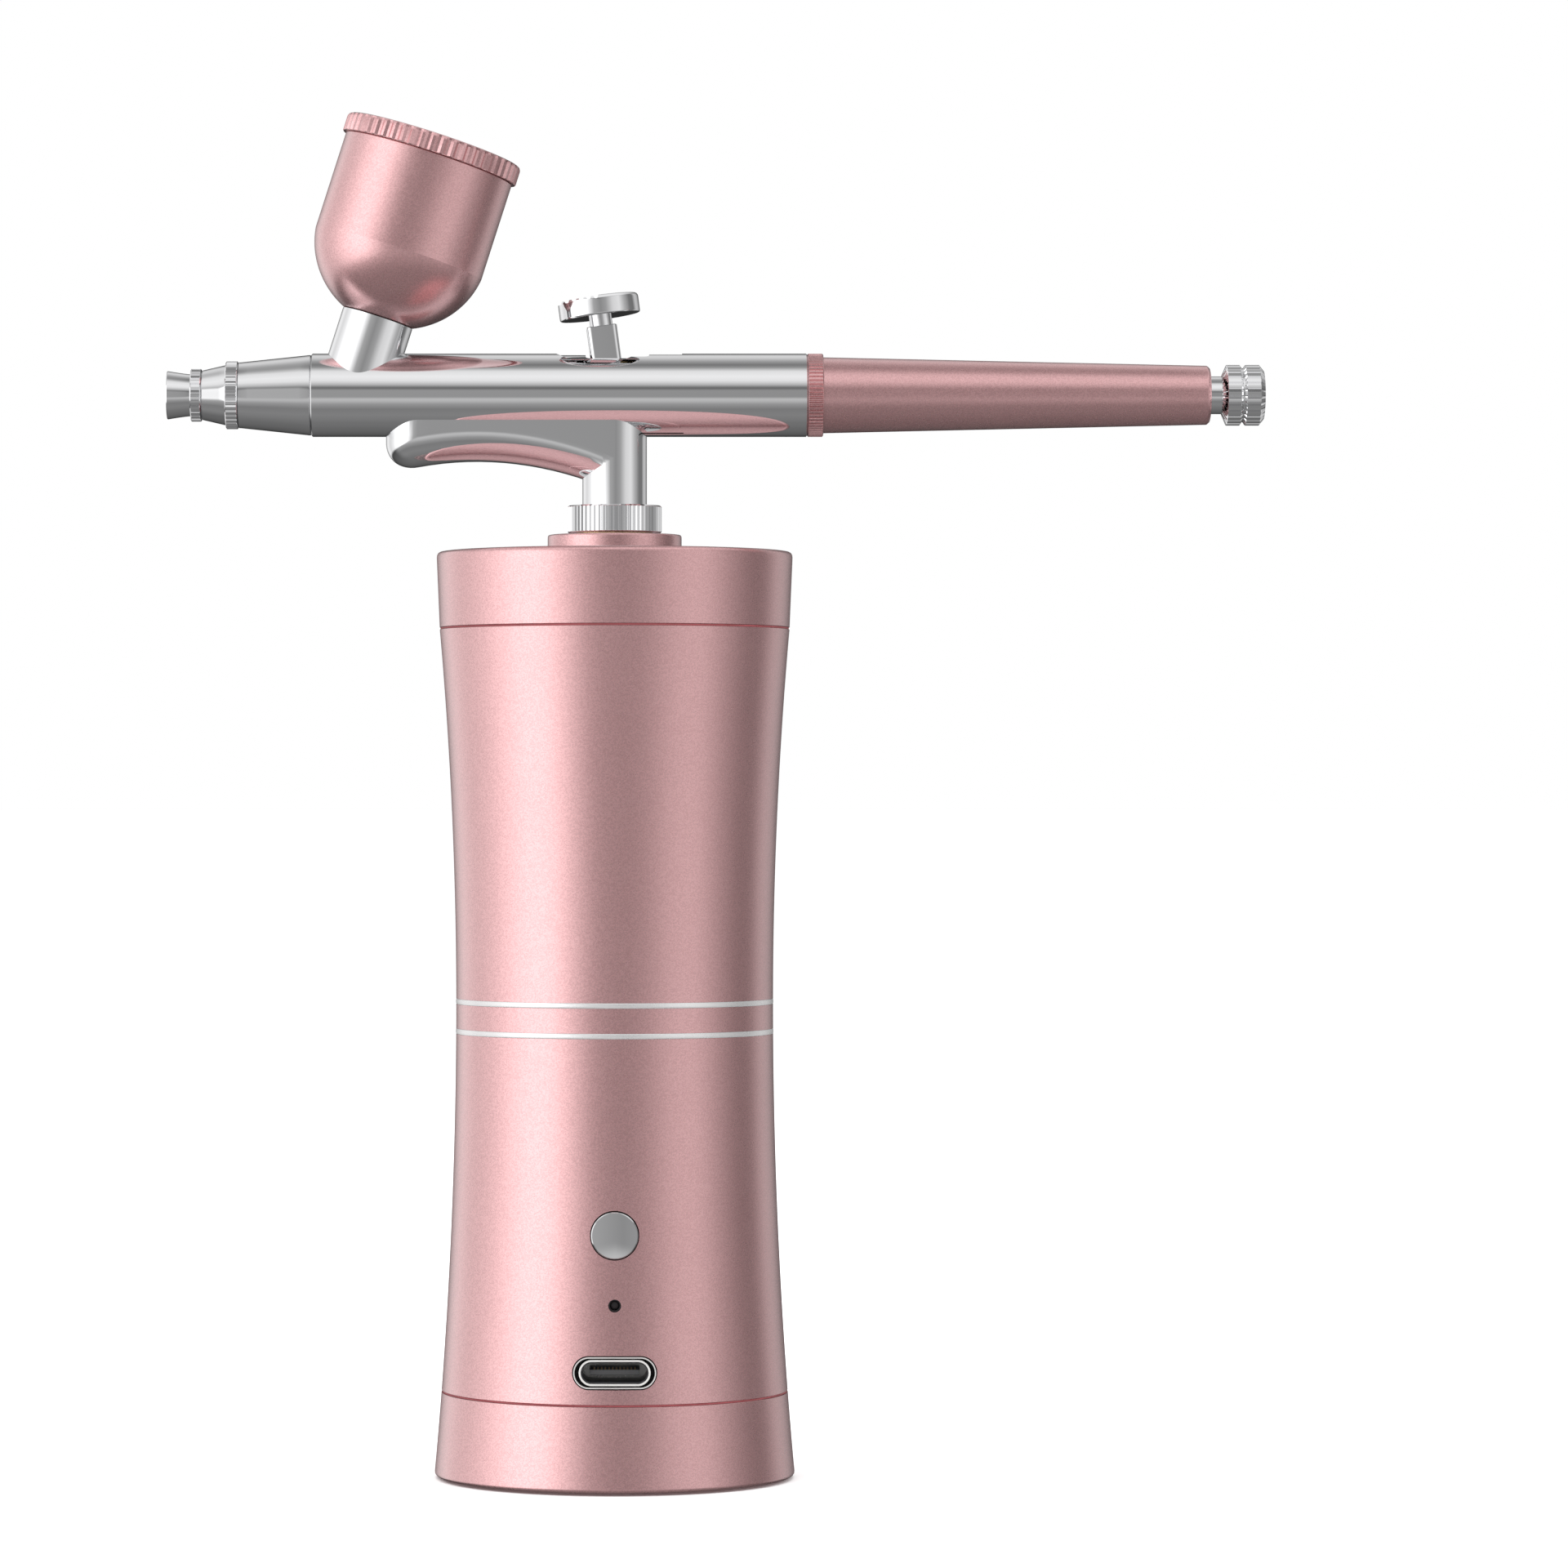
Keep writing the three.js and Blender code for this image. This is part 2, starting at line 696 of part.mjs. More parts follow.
function addPump() {
  const roofBottom = wheelTop - eccentric.roof;
  const wheel = turned([
    [0, roofBottom],
    [motor.shaft + slip, roofBottom],
    [motor.shaft + slip, wheelBottom],
    [eccentric.radius, wheelBottom],
    [eccentric.radius, wheelTop],
    [0, wheelTop],
  ], plain);
  const pin = rod(eccentric.pin, wheelTop - 0.3, wheelTop + eccentric.pinHeight, small);
  add("eccentric_wheel", join(wheel, pin.translate(eccentric.throw, 0, 0)), brass);
  const body = turned([
    [eccentric.radius + loose, pumpBottom],
    [pump.radius, pumpBottom],
    [pump.radius, pumpTop],
    [pump.radius - pump.wall, pumpTop],
    [pump.radius - pump.wall, pumpBottom + pump.floor],
    [eccentric.radius + loose, pumpBottom + pump.floor],
  ], round);
  add("pump_body", body, blackPlastic);
  addSwingFrame();
  const cups = around(pump.cups, pump.cupCircle, Math.PI / 2, () =>
    rod(pump.cupRadius, diaphragmBottom - pump.cupDepth, diaphragmBottom + 0.5, small),
  );
  const sheet = rod(pump.radius - seat, diaphragmBottom, diaphragmBottom + diaphragmThickness, round);
  add("pump_diaphragm", join(sheet, ...cups), blackRubber);
  const plate = rod(pump.radius - seat, valvePlateBottom, valvePlateBottom + valvePlateThickness, round);
  const holes = around(pump.cups, pump.cupCircle, Math.PI / 2, () =>
    rod(1, valvePlateBottom - 1, valvePlateBottom + valvePlateThickness + 1, small),
  );
  add("valve_plate", cut(plate, ...holes), whitePlastic);
  const cover = turned([
    [pumpCover.bore, coverBottom],
    [pump.radius, coverBottom],
    [pump.radius, coverTop],
    [pumpCover.nipple, coverTop],
    [pumpCover.nipple, nippleTop],
    [pumpCover.bore, nippleTop],
  ], round);
  add("pump_cover", cover, blackPlastic);
}

function addSwingFrame() {
  const bottom = swingBottom;
  const top = bottom + swing.thickness;
  const arms = [];
  for (let i = 0; i < pump.cups; i++) {
    const arm = block([0, -swing.arm / 2, bottom], [pump.cupCircle, swing.arm / 2, top]);
    arms.push(arm.rotateZ(Math.PI / 2 + (i * 2 * Math.PI) / pump.cups));
  }
  const pads = around(pump.cups, pump.cupCircle, Math.PI / 2, () => rod(swing.pad, bottom, top, small));
  add("swing_frame", join(rod(swing.hub, bottom, top, plain), ...arms, ...pads), whitePlastic);
}

// ---- Air outlet ----

function addOutlet() {
  const barbBottom = flangeBottom - outlet.barb;
  const fitting = turned([
    [outlet.bore, barbBottom],
    [pumpCover.nipple, barbBottom],
    [pumpCover.nipple, flangeBottom],
    [outlet.flange, flangeBottom],
    [outlet.flange, flangeTop],
    [outlet.thread, flangeTop],
    [outlet.thread, outletTop],
    [outlet.bore, outletTop],
  ]);
  add("outlet_fitting", fitting, brass);
  const inner = pumpCover.nipple + slip;
  const pipe = tube(inner + hose.wall, inner, nippleTop - hose.cover, flangeBottom - loose, small);
  add("air_hose", pipe, clearTube);
  add("outlet_seal", tube(seal.outer, seal.inner, sealBottom, sealBottom + seal.height, plain), blackRubber);
  const nutBottom = bossTop + nut.gap;
  const nutTop = nutBottom + nut.height;
  const coupling = turned([
    [stem.collar + loose, nutBottom],
    [nut.radius, nutBottom],
    [nut.radius, nutTop],
    [stem.radius + loose, nutTop],
    [stem.radius + loose, nutTop - nut.lip],
    [stem.collar + loose, nutTop - nut.lip],
  ], round);
  add("coupling_nut", coupling, chrome);
}

// ---- Airbrush body: barrel, cup neck, finger hook and stem in one brazed piece ----

function hookSection(x) {
  const tip = hook.radius - hook.reach;
  const reach = Math.min(0, x - tip);
  const half = Math.sqrt(Math.max(hook.radius ** 2 - reach ** 2, 0.01));
  const rise = (hook.rootDrop - hook.crestDrop) / hook.crest ** 2;
  const underside = axisHeight - hook.crestDrop - rise * (x - hook.crest) ** 2;
  const centre = underside + hook.radius;
  const points = [new THREE.Vector3(x, half, axisHeight - 1)];
  const steps = 8;
  for (let i = 0; i <= steps; i++) {
    const angle = -(i * Math.PI) / steps;
    points.push(new THREE.Vector3(x, half * Math.cos(angle), centre + half * Math.sin(angle)));
  }
  points.push(new THREE.Vector3(x, -half, axisHeight - 1));
  return points;
}

function hookShape() {
  const tip = hook.radius - hook.reach;
  const rings = [];
  for (let i = 0; i < 5; i++) {
    rings.push(hookSection(tip - hook.radius * Math.cos(deg(5 + i * 17))));
  }
  const steps = 6;
  for (let i = 0; i <= steps; i++) {
    rings.push(hookSection(tip - (tip * i) / steps));
  }
  return lofted(rings);
}

// Moves a shape made along Z to the cup's leaning axis, where heights count from the barrel's axis.
function onCupAxis(geometry) {
  return geometry.rotateY(deg(cup.tilt)).translate(cup.foot, 0, axisHeight);
}

// The cup's rounded bottom, or a surface at a distance from it, between two radii.
function bowlCurve(offset, fromRadius, toRadius, steps) {
  const wide = cup.radius + offset;
  const deep = cup.bowl + offset;
  const first = Math.asin(Math.min(fromRadius / wide, 1));
  const last = Math.asin(Math.min(toRadius / wide, 1));
  const corners = [];
  for (let i = 0; i <= steps; i++) {
    const angle = first + ((last - first) * i) / steps;
    corners.push([wide * Math.sin(angle), cup.shoulder - deep * Math.cos(angle)]);
  }
  return corners;
}

function barrelBores() {
  const headEnd = barrel.front + bores.headDepth;
  const lengthwise = turned([
    [0, barrel.front - 1],
    [bores.head, barrel.front - 1],
    [bores.head, headEnd],
    [bores.fluid, headEnd],
    [bores.fluid, bores.packingFront],
    [bores.packing, bores.packingFront],
    [bores.packing, pocket.rear - 1],
    [bores.rear, pocket.rear - 1],
    [bores.rear, barrel.rear + 1],
    [0, barrel.rear + 1],
  ]);
  const threadBottom = cup.neckTop - cup.nippleLength - cup.sealHeight - slip;
  const threadRadius = cup.nipple + loose;
  const cupBore = turned([
    [0, 0],
    [bores.fluid, 0],
    [bores.fluid, threadBottom],
    [threadRadius, threadBottom],
    ...bowlCurve(slip, threadRadius, cup.neck + 1, 5),
    [0, cup.shoulder],
  ], round);
  return [alongBarrel(lengthwise), onCupAxis(cupBore), valveBore()];
}

function valveSeatHeight() {
  return stemBottom + valve.plug + valve.spring + valve.headHeight + valve.seatHeight + 4 * seat + loose;
}

function valveBore() {
  const seatHeight = valveSeatHeight();
  return turned([
    [0, stemBottom - 1],
    [stem.bore, stemBottom - 1],
    [stem.bore, seatHeight],
    [bores.valve, seatHeight],
    [bores.valve, axisHeight],
    [0, axisHeight],
  ], plain);
}

function triggerOpenings() {
  const { front, slotRear, rear, halfWidth, floor } = pocket;
  const top = axisHeight + barrel.radius;
  const inside = block([front, -halfWidth, axisHeight - floor], [rear, halfWidth, axisHeight + bores.rear]);
  const slot = block([front, -halfWidth, axisHeight], [slotRear, halfWidth, top + 1]);
  const oval = rod(1, axisHeight, top + 1, round).scale(dish.halfLength, dish.halfWidth, 1);
  const reach = 2 * dish.halfLength;
  const core = rod(barrel.radius - dish.depth, dish.centre - reach, dish.centre + reach, round);
  const dished = cut(oval.translate(dish.centre, 0, 0), alongBarrel(core));
  const flat = block([dish.centre, -barrel.radius, top - dish.flat], [dish.flatEnd, barrel.radius, top + 1]);
  return [inside, slot, dished, flat];
}

function addAirbrushBody() {
  const collarTop = stemBottom + stem.collarHeight;
  const outside = join(
    alongBarrel(rod(barrel.radius, barrel.front, barrel.rear, round)),
    turned([
      [0, stemBottom],
      [stem.collar, stemBottom],
      [stem.collar, collarTop],
      [stem.radius, collarTop],
      [stem.radius, axisHeight],
      [0, axisHeight],
    ], round),
    onCupAxis(rod(cup.neck, 0, cup.neckTop, round)),
    hookShape(),
  );
  add("airbrush_body", cut(outside, ...barrelBores(), ...triggerOpenings()), chrome);
}

// ---- Head ----

function addHead() {
  const rear = barrel.front - seat;
  const front = rear - head.length;
  const nozzleBack = front + head.mouthDepth + nozzle.baseLength;
  const sleeve = turned([
    [nozzle.bore + slip, rear + head.spigot],
    [bores.head - slip, rear + head.spigot],
    [bores.head - slip, rear],
    [head.rearRadius, rear],
    [head.frontRadius, front],
    [head.mouth, front],
    [head.mouth, front + head.mouthDepth],
    [nozzle.base + slip, front + head.mouthDepth],
    [nozzle.base + slip, nozzleBack + slip],
    [nozzle.bore + slip, nozzleBack + slip],
  ], round);
  add("head_sleeve", sleeve, chrome, onBarrel);
  const sealFront = rear + head.spigot + seat;
  const sealRear = barrel.front + bores.headDepth - seat;
  add("head_seal", tube(bores.head - slip, head.sealBore, sealFront, sealRear), redRubber, onBarrel);
  addAirCap(front);
  const tip = nozzleBack - nozzle.length;
  const fluidTip = turned([
    [nozzle.bore, nozzleBack],
    [nozzle.base, nozzleBack],
    [nozzle.base, nozzleBack - nozzle.baseLength + slip],
    [nozzle.shoulder, nozzleBack - nozzle.baseLength + slip],
    [nozzle.tip, tip],
    [nozzle.hole, tip],
    [nozzle.bore, tip + needle.tipLength],
  ], plain);
  add("fluid_nozzle", fluidTip, brass, onBarrel);
  const point = tip - needle.past;
  const needleShape = turned([
    [0, point],
    [needle.radius, point + needle.tipLength],
    [needle.radius, needle.tail],
    [0, needle.tail],
  ], 12);
  add("needle", needleShape, steel, onBarrel);
  const packingRear = packing.front + packing.length;
  const sleeving = tube(bores.packing - slip, needle.radius + slip, packing.front, packingRear, small);
  add("needle_packing", sleeving, whitePlastic, onBarrel);
}

function addAirCap(back) {
  const rear = back - seat;
  const ringFront = rear - airCap.ringLength;
  const front = ringFront - airCap.coneLength;
  const noseFront = front - airCap.noseLength;
  const cap = turned([
    [head.mouth - 0.8, rear + airCap.spigot],
    [head.mouth - slip, rear + airCap.spigot],
    [head.mouth - slip, rear],
    [airCap.ringRadius, rear],
    [airCap.ringRadius, ringFront],
    [airCap.rearRadius, ringFront],
    [airCap.frontRadius, front],
    [airCap.nose, front],
    [airCap.nose, noseFront],
    [airCap.throat, noseFront],
    [head.mouth - 0.8, rear],
  ], round);
  add("nozzle_cap", cap, chrome, onBarrel);
  const crownRear = front - seat;
  const crownFront = crownRear - crown.ringLength - crown.length;
  const crownShape = turned([
    [airCap.nose + slip, crownRear],
    [crown.ringRadius, crownRear],
    [crown.ringRadius, crownRear - crown.ringLength],
    [crown.neck, crownRear - crown.ringLength],
    [crown.lip, crownFront],
    [crown.lip - crown.wall, crownFront],
    [airCap.nose + slip, crownRear - crown.ringLength],
  ], round);
  add("needle_cap", crownShape, chrome, onBarrel);
}

// ---- Valve and trigger ----

function addValve() {
  const plugBottom = stemBottom + seat;
  const plugTop = plugBottom + valve.plug;
  const springBottom = plugTop + seat;
  const springTop = springBottom + valve.spring;
  const headBottom = springTop + seat;
  const headTop = headBottom + valve.headHeight;
  add("valve_screw", tube(stem.bore - slip, 1, plugBottom, plugTop, plain), brass);
  const coil = coilSpring(stem.bore - 0.9, springWire.valve, springBottom, springTop, 4);
  add("valve_spring", coil, steel);
  const plunger = turned([
    [0, headBottom],
    [valve.head, headBottom],
    [valve.head, headTop],
    [valve.rod, headTop],
    [valve.rod, pivotHeight - trigger.ball - slip],
    [0, pivotHeight - trigger.ball - slip],
  ], plain);
  add("valve_plunger", plunger, steel);
  const ring = tube(stem.bore - 0.4, bores.valve, headTop + seat, headTop + seat + valve.seatHeight, plain);
  add("valve_seal", ring, blackRubber);
}

function addTrigger() {
  const half = trigger.width / 2;
  const body = block([-half, -half, trigger.blockFoot], [half, half, trigger.blockTop]);
  const slotHalf = trigger.slotWidth / 2;
  const through = trigger.width;
  const needleSlot = block([-through, -slotHalf, trigger.slotBottom], [through, slotHalf, trigger.slotTop]);
  const ball = new THREE.SphereGeometry(trigger.ball, small, 6);
  const ankle = rod(trigger.ball * 0.8, 0, trigger.blockFoot + 0.4, 12);
  const neck = rod(trigger.neck / 2, trigger.blockTop - 0.5, trigger.padBottom + 0.5, plain);
  const pad = turned([
    [0, trigger.padBottom],
    [trigger.padRadius - trigger.padEdge, trigger.padBottom],
    [trigger.padRadius, trigger.padBottom + trigger.padEdge],
    [trigger.padRadius, trigger.padTop - trigger.padEdge],
    [trigger.padRadius - trigger.padEdge, trigger.padTop],
    [0, trigger.padTop],
  ], round);
  add("trigger", cut(join(body, ankle, ball, neck, pad), needleSlot), chrome, onTrigger);
  const plate = block(
    [lever.front, -lever.width / 2, axisHeight - lever.bottom],
    [lever.front + lever.thickness, lever.width / 2, axisHeight + lever.top],
  );
  const hole = alongBarrel(rod(lever.hole, lever.front - 1, lever.front + lever.thickness + 1, 12));
  add("back_lever", cut(plate, hole), steel);
}

// ---- Needle guide, spring, tail handle and limit knob ----

function addRear() {
  const bore = needle.radius + slip;
  const flangeRear = guide.flangeFront + guide.flangeLength;
  const guideShape = turned([
    [bore, guide.noseFront],
    [guide.nose, guide.noseFront],
    [guide.nose, guide.flangeFront],
    [guide.flange, guide.flangeFront],
    [guide.flange, flangeRear],
    [guide.tube, flangeRear],
    [guide.tube, guide.rear],
    [bore, guide.rear],
  ], plain);
  add("needle_guide", guideShape, brass, onBarrel);
  const chuckFront = springCase.rear + loose;
  const chuckRear = chuckFront + chuck.length;
  const chuckNut = turned([
    [guide.tube + slip, chuckFront],
    [chuck.radius, chuckFront],
    [chuck.radius, chuckRear - 0.5],
    [chuck.radius - 0.5, chuckRear],
    [bore, chuckRear],
    [bore, guide.rear + loose],
    [guide.tube + slip, guide.rear + loose],
  ], plain);
  add("needle_chuck_nut", chuckNut, steel, onBarrel);
  const inside = springCase.radius - springCase.wall;
  const caseShape = turned([
    [inside, springCase.front],
    [springCase.radius, springCase.front],
    [springCase.radius, springCase.rear - springCase.endWall - 0.2],
    [springCase.radius, springCase.rear],
    [guide.tube + slip, springCase.rear],
    [guide.tube + slip, springCase.rear - springCase.endWall],
    [inside, springCase.rear - springCase.endWall],
  ]);
  add("spring_case", caseShape, steel, onBarrel);
  const springRear = springCase.rear - springCase.endWall - seat;
  const coil = coilSpring((guide.tube + inside) / 2, springWire.needle, flangeRear + seat, springRear, 7);
  add("needle_spring", coil, steel, onBarrel);
  addTail();
}

function addTail() {
  const front = barrel.rear + seat;
  const taper = front + tail.ringLength;
  const rear = taper + tail.length;
  const shank = knob.stem + loose;
  const shape = turned([
    [tail.bore, front],
    [barrel.radius, front],
    [barrel.radius, taper],
    [tail.frontRadius, taper],
    [tail.rearRadius, rear - tail.edge],
    [tail.rearRadius - tail.edge, rear],
    [shank, rear],
    [shank, rear - tail.endWall],
    [tail.smallBore, rear - tail.endWall],
    [tail.smallBore, tail.boreEnd],
    [tail.bore - 0.3, tail.boreEnd - 0.3],
  ], round);
  add("tail_handle", shape, pink, onBarrel);
  const stopFront = needle.tail + needle.draw + stop.spare;
  const stopRear = stopFront + stop.length;
  add("limit_stop", rod(stop.radius, stopFront, stopRear, plain), brass, onBarrel);
  add("limit_knob", knobShape(stopRear + loose, rear + knob.gap), chrome, onBarrel);
}

// The knob's fluted rim is an extruded outline, with a V groove turned round its middle.
function knobShape(shankFront, front) {
  const outline = new THREE.Shape();
  for (let i = 0; i <= 2 * knob.flutes; i++) {
    const radius = knob.radius - (i % 2) * knob.fluteDepth;
    const angle = (i * Math.PI) / knob.flutes;
    const place = [radius * Math.cos(angle), radius * Math.sin(angle)];
    if (i === 0) {
      outline.moveTo(...place);
    } else {
      outline.lineTo(...place);
    }
  }
  const rear = front + knob.length;
  const middle = front + knob.grooveAt;
  const half = knob.grooveWidth / 2;
  const outside = knob.radius + knob.groove;
  const bottom = knob.radius - knob.groove;
  const corners = [
    [outside, middle - 2 * half],
    [outside, middle + 2 * half],
    [bottom, middle],
  ];
  const groove = turned(corners, round);
  return join(cut(extruded(outline, front, rear), groove), rod(knob.stem, shankFront, front + 1, round));
}

// ---- Cup and lid, on the leaning axis ----

function addCup() {
  const rimBottom = cup.shoulder + cup.side;
  const rimTop = rimBottom + cup.rim;
  const inside = cup.radius - cup.wall;
  const nippleBottom = cup.neckTop - cup.nippleLength;
  const shape = turned([
    [inside, rimTop],
    [cup.radius - cup.rimStep, rimTop],
    [cup.radius - cup.rimStep, rimBottom],
    [cup.radius, rimBottom],
    ...bowlCurve(0, cup.radius, cup.nipple, 6),
    [cup.nipple, nippleBottom],
    [cup.drain, nippleBottom],
    ...bowlCurve(-cup.wall, cup.drain, inside, 6),
  ], round);
  add("cup", shape, pink, onCup);
  const gasketBottom = nippleBottom - cup.sealHeight;
  const gasket = tube(cup.nipple - slip, cup.drain, gasketBottom, nippleBottom - seat, plain);
  add("cup_seal", gasket, blackRubber, onCup);
  addLid(rimBottom + seat, rimTop, inside);
}

function addLid(bottom, rimTop, cupInside) {
  const top = bottom + lid.side + lid.edge;
  const ceiling = rimTop + seat;
  const plug = Math.min(lid.plug, cupInside - loose);
  const shape = turned([
    [0, ceiling - lid.plugDepth],
    [plug, ceiling - lid.plugDepth],
    [plug, ceiling],
    [cup.radius - cup.rimStep + slip, ceiling],
    [cup.radius - cup.rimStep + slip, bottom],
    [lid.radius, bottom],
    [lid.radius, top - lid.edge],
    [lid.radius - lid.edge, top],
    [0, top],
  ], round);
  add("cup_lid", shape, pink, onCup);
}

addCasing();
addFront();
addChassis();
addMotor();
addPump();
addOutlet();
addAirbrushBody();
addHead();
addValve();
addTrigger();
addRear();
addCup();

export default root;
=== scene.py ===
"""Looks of a cordless airbrush gun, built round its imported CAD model.

Outlines and sizes are millimetres, and the modelling helpers turn them into Blender's metres.
The gun stands on z = 0, its nozzle points to -X and its power button faces -Y.
"""

import json
import math

import bmesh
import bpy
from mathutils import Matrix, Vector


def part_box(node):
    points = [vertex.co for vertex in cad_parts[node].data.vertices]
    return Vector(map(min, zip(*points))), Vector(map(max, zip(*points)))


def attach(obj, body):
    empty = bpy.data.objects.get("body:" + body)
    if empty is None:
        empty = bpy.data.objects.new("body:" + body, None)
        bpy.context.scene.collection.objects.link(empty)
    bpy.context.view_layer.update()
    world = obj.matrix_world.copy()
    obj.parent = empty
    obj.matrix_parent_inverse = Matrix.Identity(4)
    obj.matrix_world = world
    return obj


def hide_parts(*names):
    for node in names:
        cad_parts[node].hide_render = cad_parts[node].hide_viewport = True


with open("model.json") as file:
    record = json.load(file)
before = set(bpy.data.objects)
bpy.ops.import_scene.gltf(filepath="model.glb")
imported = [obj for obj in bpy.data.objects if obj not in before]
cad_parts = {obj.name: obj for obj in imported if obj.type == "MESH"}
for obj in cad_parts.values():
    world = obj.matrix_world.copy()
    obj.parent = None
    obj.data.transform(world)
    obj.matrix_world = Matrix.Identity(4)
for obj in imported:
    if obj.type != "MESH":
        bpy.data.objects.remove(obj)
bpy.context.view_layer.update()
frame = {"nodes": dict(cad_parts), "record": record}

MM = 0.001
MERGE_GAP = 0.002
CLOSE = 0.01


# ---- Camera, made first ----

LENS = 144.4
SENSOR = 36
EYE_DISTANCE = 0.802
EYE_HEIGHT = 0.0872
SHIFT_RIGHT = 0.108
SHIFT_UP = 0.0057


def add_camera():
    bpy.ops.object.camera_add(location=(0, -EYE_DISTANCE, EYE_HEIGHT), rotation=(math.pi / 2, 0, 0))
    camera = bpy.context.object
    camera.name = "camera"
    camera.data.sensor_width = SENSOR
    camera.data.lens = LENS
    camera.data.shift_x = SHIFT_RIGHT
    camera.data.shift_y = SHIFT_UP
    camera.data.clip_start = 0.05
    camera.data.clip_end = 50
    bpy.context.scene.camera = camera


add_camera()


# ---- Where the CAD nodes lie ----


class Span:
    """The sides of a CAD node's box, in millimetres."""

    def __init__(self, node):
        low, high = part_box(node)
        self.left, self.front, self.bottom = (side / MM for side in low)
        self.right, self.back, self.top = (side / MM for side in high)
        self.radius = (self.back - self.front) / 2


# ---- Modelling helpers ----


def deselect():
    if bpy.context.object and bpy.context.object.mode == "EDIT":
        bpy.ops.object.mode_set(mode="OBJECT")
    bpy.ops.object.select_all(action="DESELECT")


def new_piece(name):
    """Names the primitive that was just added and opens it for editing, all of it selected."""
    piece = bpy.context.object
    piece.name = name
    piece.data.name = name
    bpy.ops.object.mode_set(mode="EDIT")
    bpy.ops.mesh.select_mode(type="VERT")
    bpy.ops.mesh.select_all(action="SELECT")
    return piece


def make_active(piece):
    deselect()
    bpy.context.view_layer.objects.active = piece
    piece.select_set(True)


def open_piece(piece):
    make_active(piece)
    bpy.ops.object.mode_set(mode="EDIT")


def pick(piece, wanted, kind="VERT"):
    """In edit mode, selects only the corners, edges or faces for which wanted says yes."""
    bpy.ops.mesh.select_mode(type=kind)
    bpy.ops.mesh.select_all(action="DESELECT")
    mesh = bmesh.from_edit_mesh(piece.data)
    parts = {"VERT": mesh.verts, "EDGE": mesh.edges, "FACE": mesh.faces}[kind]
    for part in parts:
        if wanted(part):
            part.select_set(True)
    mesh.select_flush_mode()
    bmesh.update_edit_mesh(piece.data)


def move(x=0, y=0, z=0):
    bpy.ops.transform.translate(value=(x * MM, y * MM, z * MM))


def resize(x=1, y=1, z=1, about=(0, 0, 0)):
    centre = tuple(value * MM for value in about)
    bpy.ops.transform.resize(value=(x, y, z), center_override=centre)


def seal_and_smooth(piece, angle=30):
    """Merges doubles, turns all faces outwards and shades the piece smooth except at its edges."""
    open_piece(piece)
    bpy.ops.mesh.select_all(action="SELECT")
    bpy.ops.mesh.remove_doubles(threshold=MERGE_GAP * MM)
    bpy.ops.mesh.normals_make_consistent(inside=False)
    bpy.ops.object.mode_set(mode="OBJECT")
    bpy.ops.object.shade_smooth_by_angle(angle=math.radians(angle))
    return piece


def weighted(piece):
    """Lets large faces set the shading, so that flats beside rounded edges stay flat."""
    return modified(piece, "WEIGHTED_NORMAL", keep_sharp=True)


def lay_path(name, points):
    """A string of edges through 3-D points, laid by pulling one corner on from point to point."""
    deselect()
    bpy.ops.mesh.primitive_plane_add(size=MM)
    piece = new_piece(name)
    bpy.ops.mesh.merge(type="CENTER")
    move(*points[0])
    for last, point in zip(points, points[1:]):
        step = tuple((b - a) * MM for a, b in zip(last, point))
        bpy.ops.mesh.extrude_vertices_move(TRANSFORM_OT_translate={"value": step})
    return piece


def eased(corners, steps=4):
    """An outline whose corners (radius, height, ease) are rounded by their third number."""
    outline = []
    count = len(corners)
    for i, corner in enumerate(corners):
        if len(corner) < 3 or i in (0, count - 1):
            outline.append(corner[:2])
            continue
        before, after, ease = corners[i - 1], corners[i + 1], corner[2]
        ends = []
        for other in (before, after):
            reach = math.dist(corner[:2], other[:2])
            share = min(ease / reach, 0.5)
            ends.append([c + (o - c) * share for c, o in zip(corner[:2], other[:2])])
        for j in range(steps + 1):
            t = j / steps
            weights = ((1 - t) ** 2, 2 * t * (1 - t), t * t)
            points = (ends[0], corner, ends[1])
            outline.append(tuple(sum(w * p[k] for w, p in zip(weights, points)) for k in (0, 1)))
    return outline


def turned(name, corners, steps=96):
    """A piece turned about Z from (radius, height) corners that end on the axis or where they began."""
    outline = eased(corners)
    piece = lay_path(name, [(radius, 0, height) for radius, height in outline])
    bpy.ops.mesh.select_all(action="SELECT")
    bpy.ops.mesh.spin(steps=steps, angle=math.tau, center=(0, 0, 0), axis=(0, 0, 1))
    return seal_and_smooth(piece)


def flute(piece, low, high, floor, count, depth, land=2, width=4):
    """Presses grooves into a turned ring between two heights, where it is wider than floor.

    The ring was turned in count x width steps, and the first land of them stay proud."""

    def in_groove(corner):
        x, y, z = (value / MM for value in corner.co)
        if not low - CLOSE < z < high + CLOSE or math.hypot(x, y) < floor:
            return False
        step = round(math.atan2(y, x) / math.tau * count * width)
        return step % width >= land

    open_piece(piece)
    pick(piece, in_groove)
    radius = floor + depth
    resize(x=1 - depth / radius, y=1 - depth / radius)
    bpy.ops.object.mode_set(mode="OBJECT")


def put(piece, turn=(0, 0, 0), at=(0, 0, 0)):
    """Turns and moves a piece, then puts its place into its mesh."""
    make_active(piece)
    piece.rotation_euler = tuple(math.radians(value) for value in turn)
    piece.location = tuple(value * MM for value in at)
    bpy.ops.object.transform_apply(location=True, rotation=True, scale=True)
    return piece


def to_front(piece, height):
    """Turns a piece made along Z to face the front, at a height."""
    return put(piece, (90, 0, 0), (0, 0, height))


def modified(piece, kind, **settings):
    """Adds a modifier and applies it."""
    make_active(piece)
    modifier = piece.modifiers.new(kind.lower(), kind)
    for setting, value in settings.items():
        setattr(modifier, setting, value)
    bpy.ops.object.modifier_apply(modifier=modifier.name)
    return piece


